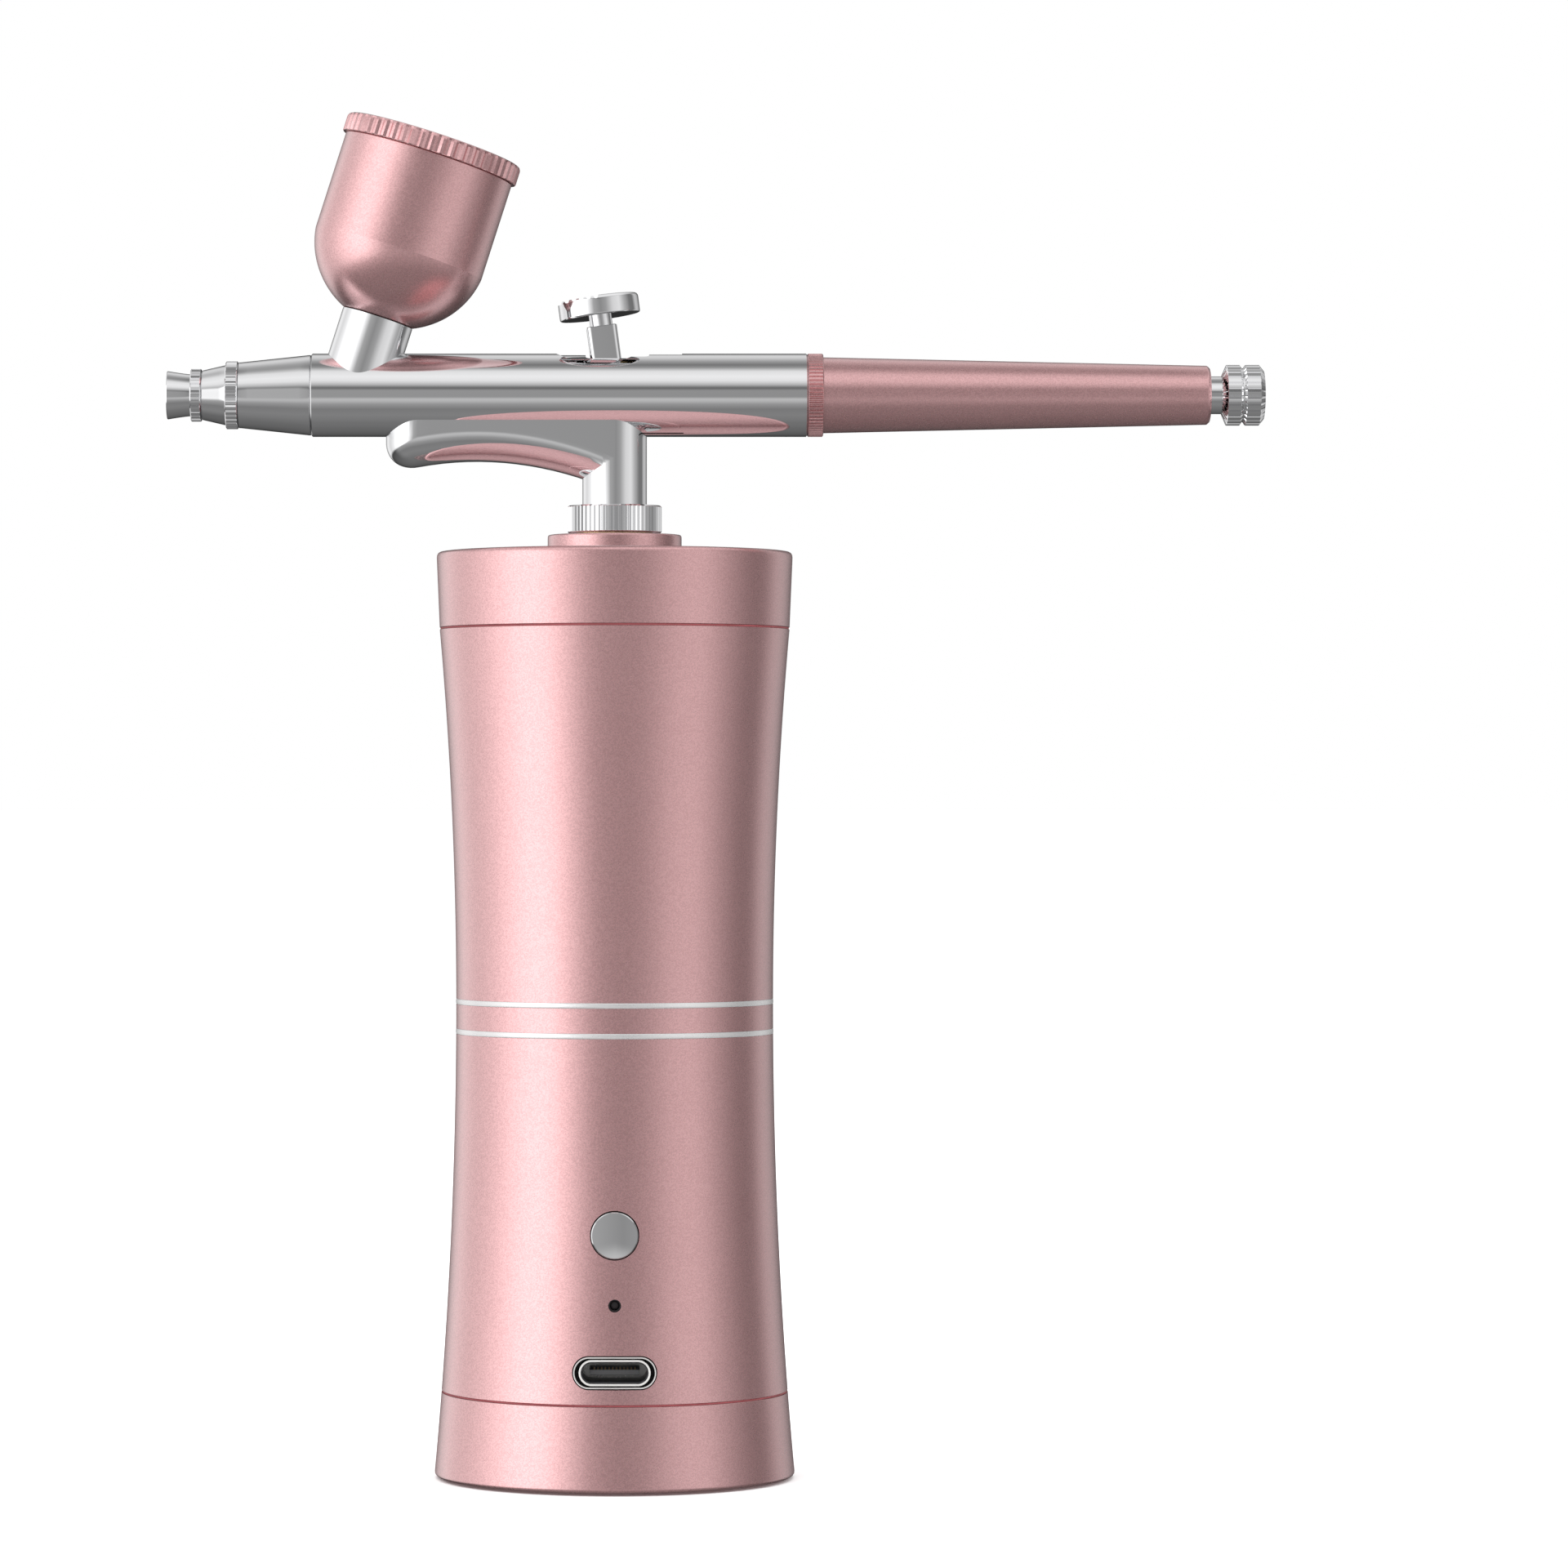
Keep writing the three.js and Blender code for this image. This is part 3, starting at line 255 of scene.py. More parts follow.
def combined(piece, other, operation):
    """Joins, cuts or keeps the common part of two pieces, and uses the second one up."""
    modified(piece, "BOOLEAN", operation=operation, object=other, solver="EXACT")
    bpy.data.objects.remove(other)
    return piece


def block(name, low, high):
    """A block from its lowest to its highest corner."""
    deselect()
    middle = tuple((a + b) / 2 * MM for a, b in zip(low, high))
    bpy.ops.mesh.primitive_cube_add(size=1, location=middle)
    piece = bpy.context.object
    piece.name = name
    piece.data.name = name
    piece.scale = tuple((b - a) * MM for a, b in zip(low, high))
    bpy.ops.object.transform_apply(location=True, rotation=True, scale=True)
    return piece


def stadium(name, width, height, low, high, corners=64):
    """A slab with round ends, width along X and height along Y, between two levels of Z."""
    deselect()
    radius = height / 2
    reach = (width - height) / 2
    bpy.ops.mesh.primitive_circle_add(vertices=corners, radius=radius * MM, fill_type="NGON")
    piece = new_piece(name)
    move(z=low)
    pick(piece, lambda corner: corner.co.x > CLOSE * MM)
    move(x=reach)
    pick(piece, lambda corner: corner.co.x < -CLOSE * MM)
    move(x=-reach)
    bpy.ops.mesh.select_all(action="SELECT")
    rise = (0, 0, (high - low) * MM)
    bpy.ops.mesh.extrude_region_move(TRANSFORM_OT_translate={"value": rise})
    return seal_and_smooth(piece)


def finished(piece, slot, body, *nodes, material=None):
    """Gives a piece its slot's material, or the one given, hangs it on its body and hides the CAD nodes it
    stands for.
    """
    piece.data.materials.clear()
    piece.data.materials.append(material or finishes[slot])
    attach(piece, body)
    if nodes:
        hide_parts(*nodes)
    return piece


# ---- Shader helpers ----


class Socket:
    """A shader value that takes part in sums, so that 1 - mask or noise * 3 adds its Math nodes."""

    def __init__(self, finish, link):
        self.finish = finish
        self.link = link

    def maths(self, operation, *values):
        inputs = {index: value for index, value in enumerate(values)}
        return self.finish.node("ShaderNodeMath", {"operation": operation}, inputs)

    def __add__(self, other):
        return self.maths("ADD", self, other)

    def __radd__(self, other):
        return self.maths("ADD", other, self)

    def __sub__(self, other):
        return self.maths("SUBTRACT", self, other)

    def __rsub__(self, other):
        return self.maths("SUBTRACT", other, self)

    def __mul__(self, other):
        return self.maths("MULTIPLY", self, other)

    def __rmul__(self, other):
        return self.maths("MULTIPLY", other, self)

    def between(self, low, high, kind="SMOOTHSTEP"):
        """0 below low, 1 above high, and a smooth rise between them."""
        inputs = {"Value": self, "From Min": low, "From Max": high}
        return self.finish.node("ShaderNodeMapRange", {"interpolation_type": kind}, inputs)


class Graph:
    """A node tree that is wired through one method."""

    def __init__(self, tree):
        self.nodes = tree.nodes
        self.links = tree.links

    def node(self, kind, settings=None, inputs=None, output=0):
        """Adds a node, sets its settings, then its inputs, and gives back one of its outputs."""
        made = self.nodes.new(kind)
        for setting, value in (settings or {}).items():
            if setting == "stops":
                self.set_stops(made.color_ramp, value)
            else:
                setattr(made, setting, value)
        for name, value in (inputs or {}).items():
            self.feed(made.inputs[name], value)
        return Socket(self, made.outputs[output])

    def set_stops(self, ramp, stops):
        """Ramp stops as (place, grey or colour)."""
        while len(ramp.elements) < len(stops):
            ramp.elements.new(1)
        for element, (place, value) in zip(ramp.elements, stops):
            element.position = place
            colour = value if isinstance(value, tuple) else (value, value, value)
            element.color = (*colour, 1)

    def feed(self, socket, value):
        if isinstance(value, Socket):
            self.links.new(value.link, socket)
        elif isinstance(value, tuple) and socket.type == "RGBA":
            socket.default_value = (*value, 1)
        else:
            socket.default_value = value

    def mixed(self, share, low, high):
        """A colour between low and high."""
        settings = {"data_type": "RGBA"}
        return self.node("ShaderNodeMix", settings, {0: share, 6: low, 7: high}, output=2)


class Finish(Graph):
    """A material: one surface shader with fixed numbers, and patterns in the piece's own coordinates."""

    def __init__(self, name, **fixed):
        self.material = bpy.data.materials.new(name)
        self.material.use_nodes = True
        super().__init__(self.material.node_tree)
        self.shader = self.nodes["Principled BSDF"]
        self.place = self.node("ShaderNodeTexCoord", output=3)
        self.surface(**fixed)

    def surface(self, **inputs):
        for name, value in inputs.items():
            self.feed(self.shader.inputs[name.replace("_", " ").title().replace("Ior", "IOR")], value)

    def noise(self, size, detail=2, roughness=0.5, stretch=(1, 1, 1)):
        """Soft noise whose lumps are about size millimetres across."""
        placed = self.node("ShaderNodeMapping", {}, {"Vector": self.place, "Scale": stretch})
        inputs = {"Vector": placed, "Scale": 1 / (size * MM), "Detail": detail, "Roughness": roughness}
        return self.node("ShaderNodeTexNoise", {}, inputs)

    def grains(self, size):
        """A random grey for each grain of about size millimetres."""
        inputs = {"Vector": self.place, "Scale": 1 / (size * MM)}
        colour = self.node("ShaderNodeTexVoronoi", {}, inputs, output=1)
        return self.node("ShaderNodeSeparateColor", {}, {"Color": colour})

    def bump(self, height, depth, strength=1):
        """Raises the surface by height x depth millimetres."""
        inputs = {"Height": height, "Distance": depth * MM, "Strength": strength}
        self.surface(normal=self.node("ShaderNodeBump", {}, inputs))


# ---- Materials ----


def pink_lacquer():
    """Satin rose-gold lacquer: pale flake over a deeper rose coat."""
    finish = Finish("pink_lacquer", coat_weight=0.85, coat_roughness=0.22, coat_ior=1.9)
    flake = finish.grains(0.13)
    cloud = finish.noise(9, detail=3)
    wear = finish.noise(1.2, detail=4)
    share = flake.between(0.1, 0.9) * 0.8 + cloud * 0.2
    finish.surface(
        base_color=finish.mixed(share, (0.63, 0.33, 0.338), (0.85, 0.475, 0.483)),
        metallic=0.9 + flake * 0.08,
        roughness=0.24 + wear * 0.06 + flake * 0.06,
    )
    finish.bump(flake, 0.005, 0.4)
    return finish.material


def chrome_plate():
    """Bright chrome with faint handling smudges."""
    finish = Finish("chrome_plate", base_color=(0.86, 0.86, 0.87), metallic=1.0)
    smudge = finish.noise(14, detail=3)
    fine = finish.noise(0.8, detail=4)
    finish.surface(roughness=0.035 + smudge.between(0.45, 0.75) * 0.035 + fine * 0.015)
    finish.bump(fine, 0.0015, 0.2)
    return finish.material


def turned_metal(name, light, dark, roughness, line=0.12, along=(1, 1, 1)):
    """Machined metal with fine tool lines and a little tarnish."""
    finish = Finish(name, metallic=1.0)
    lines = finish.noise(line, detail=2, stretch=along)
    tarnish = finish.noise(5, detail=5, roughness=0.6)
    finish.surface(
        base_color=finish.mixed(tarnish.between(0.35, 0.7) * 0.7 + lines * 0.3, light, dark),
        roughness=roughness + lines * 0.12 + tarnish * 0.08,
    )
    finish.bump(lines, 0.01, 0.4)
    return finish.material


def moulded(name, light, dark, roughness, grain=0.25, depth=0.012, **fixed):
    """Moulded rubber or plastic with a fine grain."""
    finish = Finish(name, **fixed)
    grainy = finish.noise(grain, detail=3)
    patchy = finish.noise(6, detail=4)
    finish.surface(
        base_color=finish.mixed(patchy.between(0.3, 0.7), light, dark),
        roughness=roughness + grainy * 0.12 - patchy * 0.06,
    )
    finish.bump(grainy, depth, 0.6)
    return finish.material


def board_mask():
    """Green solder mask over faint copper tracks."""
    finish = Finish("board_mask", coat_weight=0.4, coat_roughness=0.15)
    settings = {"wave_type": "BANDS", "bands_direction": "X"}
    inputs = {"Vector": finish.place, "Scale": 260.0, "Distortion": 2.5, "Detail": 1.0}
    tracks = finish.node("ShaderNodeTexWave", settings, inputs, output=1).between(0.6, 0.75)
    weave = finish.noise(0.4, detail=2)
    finish.surface(
        base_color=finish.mixed(tracks, (0.012, 0.11, 0.045), (0.04, 0.22, 0.09)),
        roughness=0.35 + weave * 0.15,
    )
    finish.bump(tracks, 0.03, 0.7)
    return finish.material


def magnet_ferrite():
    return turned_metal("magnet_ferrite", (0.15, 0.15, 0.155), (0.08, 0.08, 0.085), 0.5, line=0.3)


RING_LINES = (0.05, 0.05, 1)
AXLE_LINES = (1, 0.05, 0.05)

finishes = {
    "pink_metal": pink_lacquer(),
    "chrome": chrome_plate(),
    "steel": turned_metal("turned_steel", (0.66, 0.66, 0.67), (0.5, 0.5, 0.5), 0.22, along=AXLE_LINES),
    "brass": turned_metal("turned_brass", (0.78, 0.58, 0.27), (0.58, 0.4, 0.17), 0.24, along=AXLE_LINES),
    "copper": turned_metal("wound_copper", (0.72, 0.36, 0.18), (0.5, 0.2, 0.09), 0.3, 0.35, RING_LINES),
    "nickel": turned_metal("nickel_sheet", (0.76, 0.74, 0.7), (0.6, 0.58, 0.54), 0.2, along=RING_LINES),
    "black_rubber": moulded("black_rubber", (0.018, 0.018, 0.019), (0.03, 0.03, 0.031), 0.62),
    "red_rubber": moulded("red_rubber", (0.3, 0.06, 0.07), (0.22, 0.045, 0.05), 0.55),
    "white_plastic": moulded("white_plastic", (0.84, 0.83, 0.79), (0.76, 0.75, 0.7), 0.35),
    "black_plastic": moulded("black_plastic", (0.02, 0.02, 0.022), (0.034, 0.034, 0.037), 0.34),
    "circuit_green": board_mask(),
    "cell_wrap": moulded("cell_wrap", (0.04, 0.15, 0.4), (0.06, 0.2, 0.5), 0.2, 1.5, 0.03, coat_weight=0.5),
    "magnet": magnet_ferrite(),
    "clear_tube": moulded("milky_silicone", (0.8, 0.82, 0.79), (0.72, 0.75, 0.7), 0.28),
}


def finish_cad_nodes():
    """Every CAD node gets its slot's material, and the visible ones are then stood for by pieces."""
    for subpart in frame["record"]["subparts"]:
        node = frame["nodes"][subpart["node"]]
        node.data.materials.clear()
        node.data.materials.append(finishes[subpart["material_slot"]])


finish_cad_nodes()


# ---- Handle: base cap, case and top cap ----

WAIST_HEIGHT = 60.7
WAIST_RADIUS = 20.2
BASE_FLARE = 2.8
SHOULDER_FLARE = 2.1
SHOULDER_HEIGHT = 108.15
WALL = 1.6
SPIGOT_PLAY = 0.15
SPIGOT_WALL = 1.5
HANDLE_STEPS = 192
SEAM_EDGE = 0.04

case = Span("main_case")
base = Span("bottom_cap")
cap = Span("top_cap")
case_bore = WAIST_RADIUS - WALL
spigot = case_bore - SPIGOT_PLAY
spigot_bore = spigot - SPIGOT_WALL


def handle_radius(height):
    if height < WAIST_HEIGHT:
        return WAIST_RADIUS + BASE_FLARE * ((WAIST_HEIGHT - height) / WAIST_HEIGHT) ** 2
    rise = (height - WAIST_HEIGHT) / (SHOULDER_HEIGHT - WAIST_HEIGHT)
    return WAIST_RADIUS + SHOULDER_FLARE * rise**2


def handle_side(low, high, steps):
    heights = [low + (high - low) * i / steps for i in range(steps + 1)]
    return [(handle_radius(height), height) for height in heights]


def make_base_cap():
    """The base cap, with a recess for the foot below and a spigot that fits the case above."""
    pad = Span("foot_pad")
    rim = Span("trim_ring_lower").bottom - 0.05
    recess = pad.radius + 0.15
    recess_roof = pad.top + 0.05
    floor = 3
    floor_top = recess_roof + floor
    side = handle_side(base.bottom + 1.2, rim - 0.15, 8)
    corners = [
        (0, recess_roof),
        (recess, recess_roof),
        (recess, base.bottom, 0.3),
        (handle_radius(base.bottom), base.bottom, 0.75),
        *side,
        (handle_radius(rim), rim - SEAM_EDGE),
        (handle_radius(rim) - SEAM_EDGE, rim),
        (spigot, rim),
        (spigot, base.top, 0.3),
        (spigot_bore, base.top, 0.3),
        (spigot_bore, floor_top, 0.6),
        (0, floor_top),
    ]
    piece = turned("base_cap", corners, HANDLE_STEPS)
    finished(piece, "pink_metal", "handle", "bottom_cap")


def make_foot():
    """A rubber foot with a raised rim and two shallow rings pressed into its face."""
    pad = Span("foot_pad")
    corners = [
        (0, pad.bottom + 0.4),
        (6, pad.bottom + 0.4, 0.2),
        (6.4, pad.bottom, 0.2),
        (12, pad.bottom, 0.2),
        (12.4, pad.bottom + 0.4, 0.2),
        (15, pad.bottom + 0.4, 0.2),
        (15.4, pad.bottom, 0.2),
        (pad.radius, pad.bottom, 0.35),
        (pad.radius, pad.top, 0.1),
        (0, pad.top),
    ]
    piece = turned("rubber_foot", corners, HANDLE_STEPS)
    finished(piece, "black_rubber", "handle", "foot_pad")


def make_trim_ring(node):
    """A thin seal pressed flat between two edges, so that it fills the seam nearly to the surface."""
    ring = Span(node)
    inner = spigot + 0.1
    outer = ring.radius + 0.2
    low, high = ring.bottom - 0.03, ring.top + 0.03
    corners = [
        (inner, low),
        (outer, low, 0.05),
        (outer, high, 0.05),
        (inner, high),
        (inner, (low + high) / 2),
        (inner, low),
    ]
    piece = turned(node + "_seal", corners, HANDLE_STEPS)
    finished(piece, "red_rubber", "handle", node)


STRIPES = (56.9, 60.7)
STRIPE_WIDTH = 0.66
STRIPE_INLAY = 0.3
STRIPE_PROUD = 0.03


def stripe_groove(height):
    """Outline points of the groove that an inlaid stripe lies in."""
    low = height - STRIPE_WIDTH / 2 - 0.02
    high = height + STRIPE_WIDTH / 2 + 0.02
    floor = handle_radius(height) - STRIPE_INLAY - 0.02
    return [(handle_radius(low), low), (floor, low), (floor, high), (handle_radius(high), high)]


def make_case():
    """The case: a thin hourglass tube with two stripe grooves and three openings at the front."""
    edge = SEAM_EDGE
    low_groove, high_groove = (stripe_groove(height) for height in STRIPES)
    corners = [
        (case_bore, case.bottom),
        (handle_radius(case.bottom) - edge, case.bottom),
        (handle_radius(case.bottom), case.bottom + edge),
        *handle_side(case.bottom + 0.5, low_groove[0][1] - 0.5, 18),
        *low_groove,
        *handle_side(low_groove[-1][1] + 0.4, high_groove[0][1] - 0.4, 3),
        *high_groove,
        *handle_side(high_groove[-1][1] + 0.5, case.top - 0.5, 18),
        (handle_radius(case.top), case.top - edge),
        (handle_radius(case.top) - edge, case.top),
        (case_bore, case.top),
        (case_bore, (case.top + case.bottom) / 2),
        (case_bore, case.bottom),
    ]
    piece = turned("hourglass_case", corners, HANDLE_STEPS)
    button = Span("power_button")
    light = Span("status_light")
    bezel = Span("usb_bezel")
    hole_radius = 3.08
    light_radius = 0.8
    inside, outside = case_bore - 3, handle_radius(case.bottom) + 1
    for name, radius, node in (("button_hole", hole_radius, button), ("light_hole", light_radius, light)):
        height = (node.bottom + node.top) / 2
        corners = [(0, inside), (radius, inside), (radius, outside), (0, outside)]
        cutter = to_front(turned(name, corners, 64), height)
        combined(piece, cutter, "DIFFERENCE")
    play = 0.15
    width = bezel.right - bezel.left + 2 * play
    height = bezel.top - bezel.bottom + 2 * play
    cutter = stadium("socket_hole", width, height, inside, outside)
    to_front(cutter, (bezel.bottom + bezel.top) / 2)
    combined(piece, cutter, "DIFFERENCE")
    seal_and_smooth(piece)
    finished(piece, "pink_metal", "handle", "main_case")


def make_stripe(name, height):
    """A thin white-metal ring laid into the waist, its face bowed a little."""
    low = height - STRIPE_WIDTH / 2
    high = height + STRIPE_WIDTH / 2
    outer = handle_radius(height) + STRIPE_PROUD
    inner = handle_radius(height) - STRIPE_INLAY
    corners = [
        (inner, low),
        (outer - 0.05, low),
        (outer, low + 0.14),
        (outer + 0.01, height),
        (outer, high - 0.14),
        (outer - 0.05, high),
        (inner, high),
        (inner, low),
    ]
    piece = turned(name, corners, HANDLE_STEPS)
    finished(piece, "chrome", "handle", material=stripe_metal)


def make_top_cap():
    """The top cap, with its boss for the air outlet."""
    rim = Span("trim_ring_upper").top + 0.05
    face = 117.9
    roof = 2.5
    ceiling = face - roof
    shoulder = WAIST_RADIUS + SHOULDER_FLARE
    boss_radius = 8.54
    bore = 5.2
    corners = [
        (bore, cap.top, 0.1),
        (boss_radius, cap.top, 0.35),
        (boss_radius, face, 0.25),
        (cap.radius, face, 0.75),
        (cap.radius - 0.06, face - 1.6),
        (shoulder, rim + SEAM_EDGE),
        (shoulder - SEAM_EDGE, rim),
        (spigot, rim),
        (spigot, cap.bottom, 0.3),
        (spigot_bore, cap.bottom, 0.3),
        (spigot_bore, ceiling, 0.6),
        (bore, ceiling),
        (bore, (ceiling + cap.top) / 2),
        (bore, cap.top),
    ]
    piece = turned("shoulder_cap", corners, HANDLE_STEPS)
    finished(piece, "pink_metal", "handle", "top_cap")


stripe_metal = moulded("stripe_silver", (0.8, 0.79, 0.79), (0.74, 0.73, 0.73), 0.26, metallic=0.75)
make_base_cap()
make_foot()
make_trim_ring("trim_ring_lower")
make_trim_ring("trim_ring_upper")
make_case()
make_stripe("waist_stripe_lower", STRIPES[0])
make_stripe("waist_stripe_upper", STRIPES[1])
make_top_cap()


# ---- Front of the handle: button, light and charging socket ----


def make_button():
    """A low domed button with a rounded rim, and a flange that holds it behind the wall."""
    node = Span("power_button")
    flange = (node.right - node.left) / 2
    radius = flange - 0.6
    back = -node.back
    tip = -node.front
    sag = 0.14
    shoulder = tip - sag - 0.12
    dome = []
    for i in range(9):
        share = 0.96 - 0.96 * i / 8
        dome.append((radius * share, tip - sag * share**2))
    corners = [
        (0, back),
        (flange, back, 0.1),
        (flange, back + 0.6, 0.1),
        (radius, back + 0.6, 0.1),
        (radius, shoulder),
        *dome,
    ]
    piece = turned("chrome_button", corners, 96)
    to_front(piece, (node.bottom + node.top) / 2)
    finished(piece, "chrome", "button", "power_button")


def make_light():
    """A dark lens at the bottom of its hole, inside a short dark sleeve."""
    node = Span("status_light")
    radius = (node.right - node.left) / 2
    back, tip = -node.back, -node.front
    corners = [
        (0, back),
        (radius, back),
        (radius, tip - 0.25, 0.1),
        (radius * 0.75, tip - 0.08, 0.1),
        (0, tip),
    ]
    piece = turned("light_lens", corners, 32)
    to_front(piece, (node.bottom + node.top) / 2)
    finished(piece, "black_plastic", "handle", "status_light")
    corners = [
        (radius + 0.03, tip - 1),
        (radius + 0.18, tip - 1),
        (radius + 0.18, tip + 0.35),
        (radius + 0.03, tip + 0.35),
        (radius + 0.03, tip),
        (radius + 0.03, tip - 1),
    ]
    sleeve = turned("light_sleeve", corners, 32)
    to_front(sleeve, (node.bottom + node.top) / 2)
    finished(sleeve, "black_plastic", "handle")


def softened(piece, width, segments=3, angle=35):
    """Rounds the piece's sharp edges."""
    modified(
        piece,
        "BEVEL",
        width=width * MM,
        segments=segments,
        limit_method="ANGLE",
        angle_limit=math.radians(angle),
        use_clamp_overlap=True,
    )
    return seal_and_smooth(piece)


def slot_ring(name, outer, inner, low, high):
    """A round-ended slab with a round-ended hole through it, from (width, height) sizes."""
    ring = stadium(name, *outer, low, high)
    hole = stadium(name + "_hole", *inner, low - 1, high + 1)
    combined(ring, hole, "DIFFERENCE")
    return ring


def make_socket():
    """A thin rim, a dull-black ring of painted shade in the gap behind the rim, and the charging socket's
    shell with its liner and tongue.
    """
    bezel = Span("usb_bezel")
    shell = Span("usb_shell")
    tongue = Span("usb_tongue")
    height = (bezel.bottom + bezel.top) / 2
    wide, tall = bezel.right - bezel.left, bezel.top - bezel.bottom
    shell_wide, shell_tall = shell.right - shell.left, shell.top - shell.bottom
    wall = 0.25
    rim = 0.3
    play = 0.08
    low, high = -bezel.back, -bezel.front
    ring = slot_ring("socket_bezel", (wide, tall), (wide - rim, tall - rim), low, high)
    softened(ring, 0.04)
    to_front(ring, height)
    finished(ring, "steel", "handle", "usb_bezel", material=rim_metal)
    outer = (wide - rim - play, tall - rim - play)
    inner = (shell_wide + play, shell_tall + play)
    # Painted shade: a dull-black ring set down in the gap between the rim and the shell, standing in for
    # the shade there.
    gap_shade_ring = slot_ring("socket_filler", outer, inner, low, high - 0.8)
    to_front(gap_shade_ring, height)
    finished(gap_shade_ring, "black_rubber", "handle", material=gap_shade_black)
    tube = stadium("socket_shell", shell_wide, shell_tall, -shell.back, -shell.front)
    open_size = (shell_wide - 2 * wall, shell_tall - 2 * wall)
    hole = stadium("shell_hole", *open_size, -shell.back + 1, -shell.front + 1)
    combined(tube, hole, "DIFFERENCE")
    softened(tube, 0.06)
    to_front(tube, height)
    finished(tube, "nickel", "handle", "usb_shell", material=bright_nickel)
    make_liner(open_size, shell, height)
    make_tongue(tongue, height)


def make_liner(open_size, shell, height):
    """The black moulding that lines the shell behind its mouth."""
    outer = (open_size[0] - 0.04, open_size[1] - 0.04)
    inner = (open_size[0] - 0.34, open_size[1] - 0.34)
    liner = slot_ring("socket_liner", outer, inner, -shell.back + 1.05, -shell.front - 0.35)
    softened(liner, 0.05, 2)
    to_front(liner, height)
    finished(liner, "black_plastic", "handle")


def make_tongue(tongue, height):
    """The socket's tongue with its row of contacts."""
    body = block(
        "socket_tongue",
        (tongue.left, tongue.front, tongue.bottom),
        (tongue.right, tongue.back, tongue.top),
    )
    softened(body, 0.12)
    finished(body, "black_plastic", "handle", "usb_tongue", material=grey_moulding)
    count = 12
    pitch = 0.46
    for i in range(count):
        x = (i - (count - 1) / 2) * pitch
        pin = block(
            f"socket_contact_{i + 1}",
            (x - 0.11, tongue.front + 0.3, tongue.top - 0.02),
            (x + 0.11, tongue.front + 3.2, tongue.top + 0.05),
        )
        softened(pin, 0.02, 1)
        finished(pin, "brass", "handle")


# Painted shade: nearly black, matt paint that stands in for the shade inside the socket's gap.
gap_shade_black = moulded("gap_shade_black", (0.006, 0.006, 0.006), (0.01, 0.01, 0.01), 0.9, specular_ior_level=0.1)
grey_moulding = moulded("grey_moulding", (0.035, 0.035, 0.037), (0.05, 0.05, 0.052), 0.4)
rim_metal = moulded("rim_metal", (0.62, 0.61, 0.6), (0.54, 0.53, 0.52), 0.3, metallic=0.4)
bright_nickel = moulded("bright_nickel", (0.86, 0.85, 0.83), (0.78, 0.77, 0.75), 0.22, metallic=0.5)
make_button()
make_light()
make_socket()


# ---- Airbrush: places shared by its pieces ----

body = Span("airbrush_body")
sleeve = Span("head_sleeve")
handle_tail = Span("tail_handle")
AXIS = 137.9
BARREL_RADIUS = body.back
BARREL_FRONT = -38.6
BARREL_REAR = 24.5
CUP_FOOT = -33.36
CUP_TILT = 17.8


def along_barrel(piece):
    return put(piece, (0, 90, 0), (0, 0, AXIS))


def on_cup(piece):
    return put(piece, (0, CUP_TILT, 0), (CUP_FOOT, 0, AXIS))


CUP_RADIUS = 11.07
CUP_SHOULDER = 18.99
CUP_BOWL = 9.55
CUP_WALL = 0.95
CUP_CREASE = 1.008
NECK_RADIUS = 4.62
NECK_TOP = 10.3
NIPPLE = 2.6


def bowl(offset, from_radius, to_radius, steps):
    """The cup's round bottom, or a surface at a distance from it, between two radii.

    It meets the side at a slight crease, as if the round went on a little wider than the cup."""
    wide = CUP_RADIUS * CUP_CREASE + offset
    deep = CUP_BOWL + offset
    lost = math.cos(math.asin(1 / CUP_CREASE))
    first = math.asin(min(from_radius / wide, 1))
    last = math.asin(min(to_radius / wide, 1))
    angles = [first + (last - first) * i / steps for i in range(steps + 1)]
    drops = [deep * (math.cos(angle) - lost) / (1 - lost) for angle in angles]
    return [(wide * math.sin(angle), CUP_SHOULDER - drop) for angle, drop in zip(angles, drops)]


# ---- Airbrush body ----

STEM_RADIUS = 4.1
HOOK_RADIUS = 4.1
HOOK_REACH = 29.14
HOOK_CREST = -17.5
HOOK_CREST_DROP = 8.5
HOOK_ROOT_DROP = 12.25


def hook_underside(x):
    rise = (HOOK_ROOT_DROP - HOOK_CREST_DROP) / HOOK_CREST**2
    return AXIS - HOOK_CREST_DROP - rise * (x - HOOK_CREST) ** 2


def hook_half(x):
    """Half of the hook's width at a place along it: full, then round at its tip."""
    short = min(0, x - (HOOK_RADIUS - HOOK_REACH))
    return math.sqrt(max(HOOK_RADIUS**2 - short**2, 0.004))


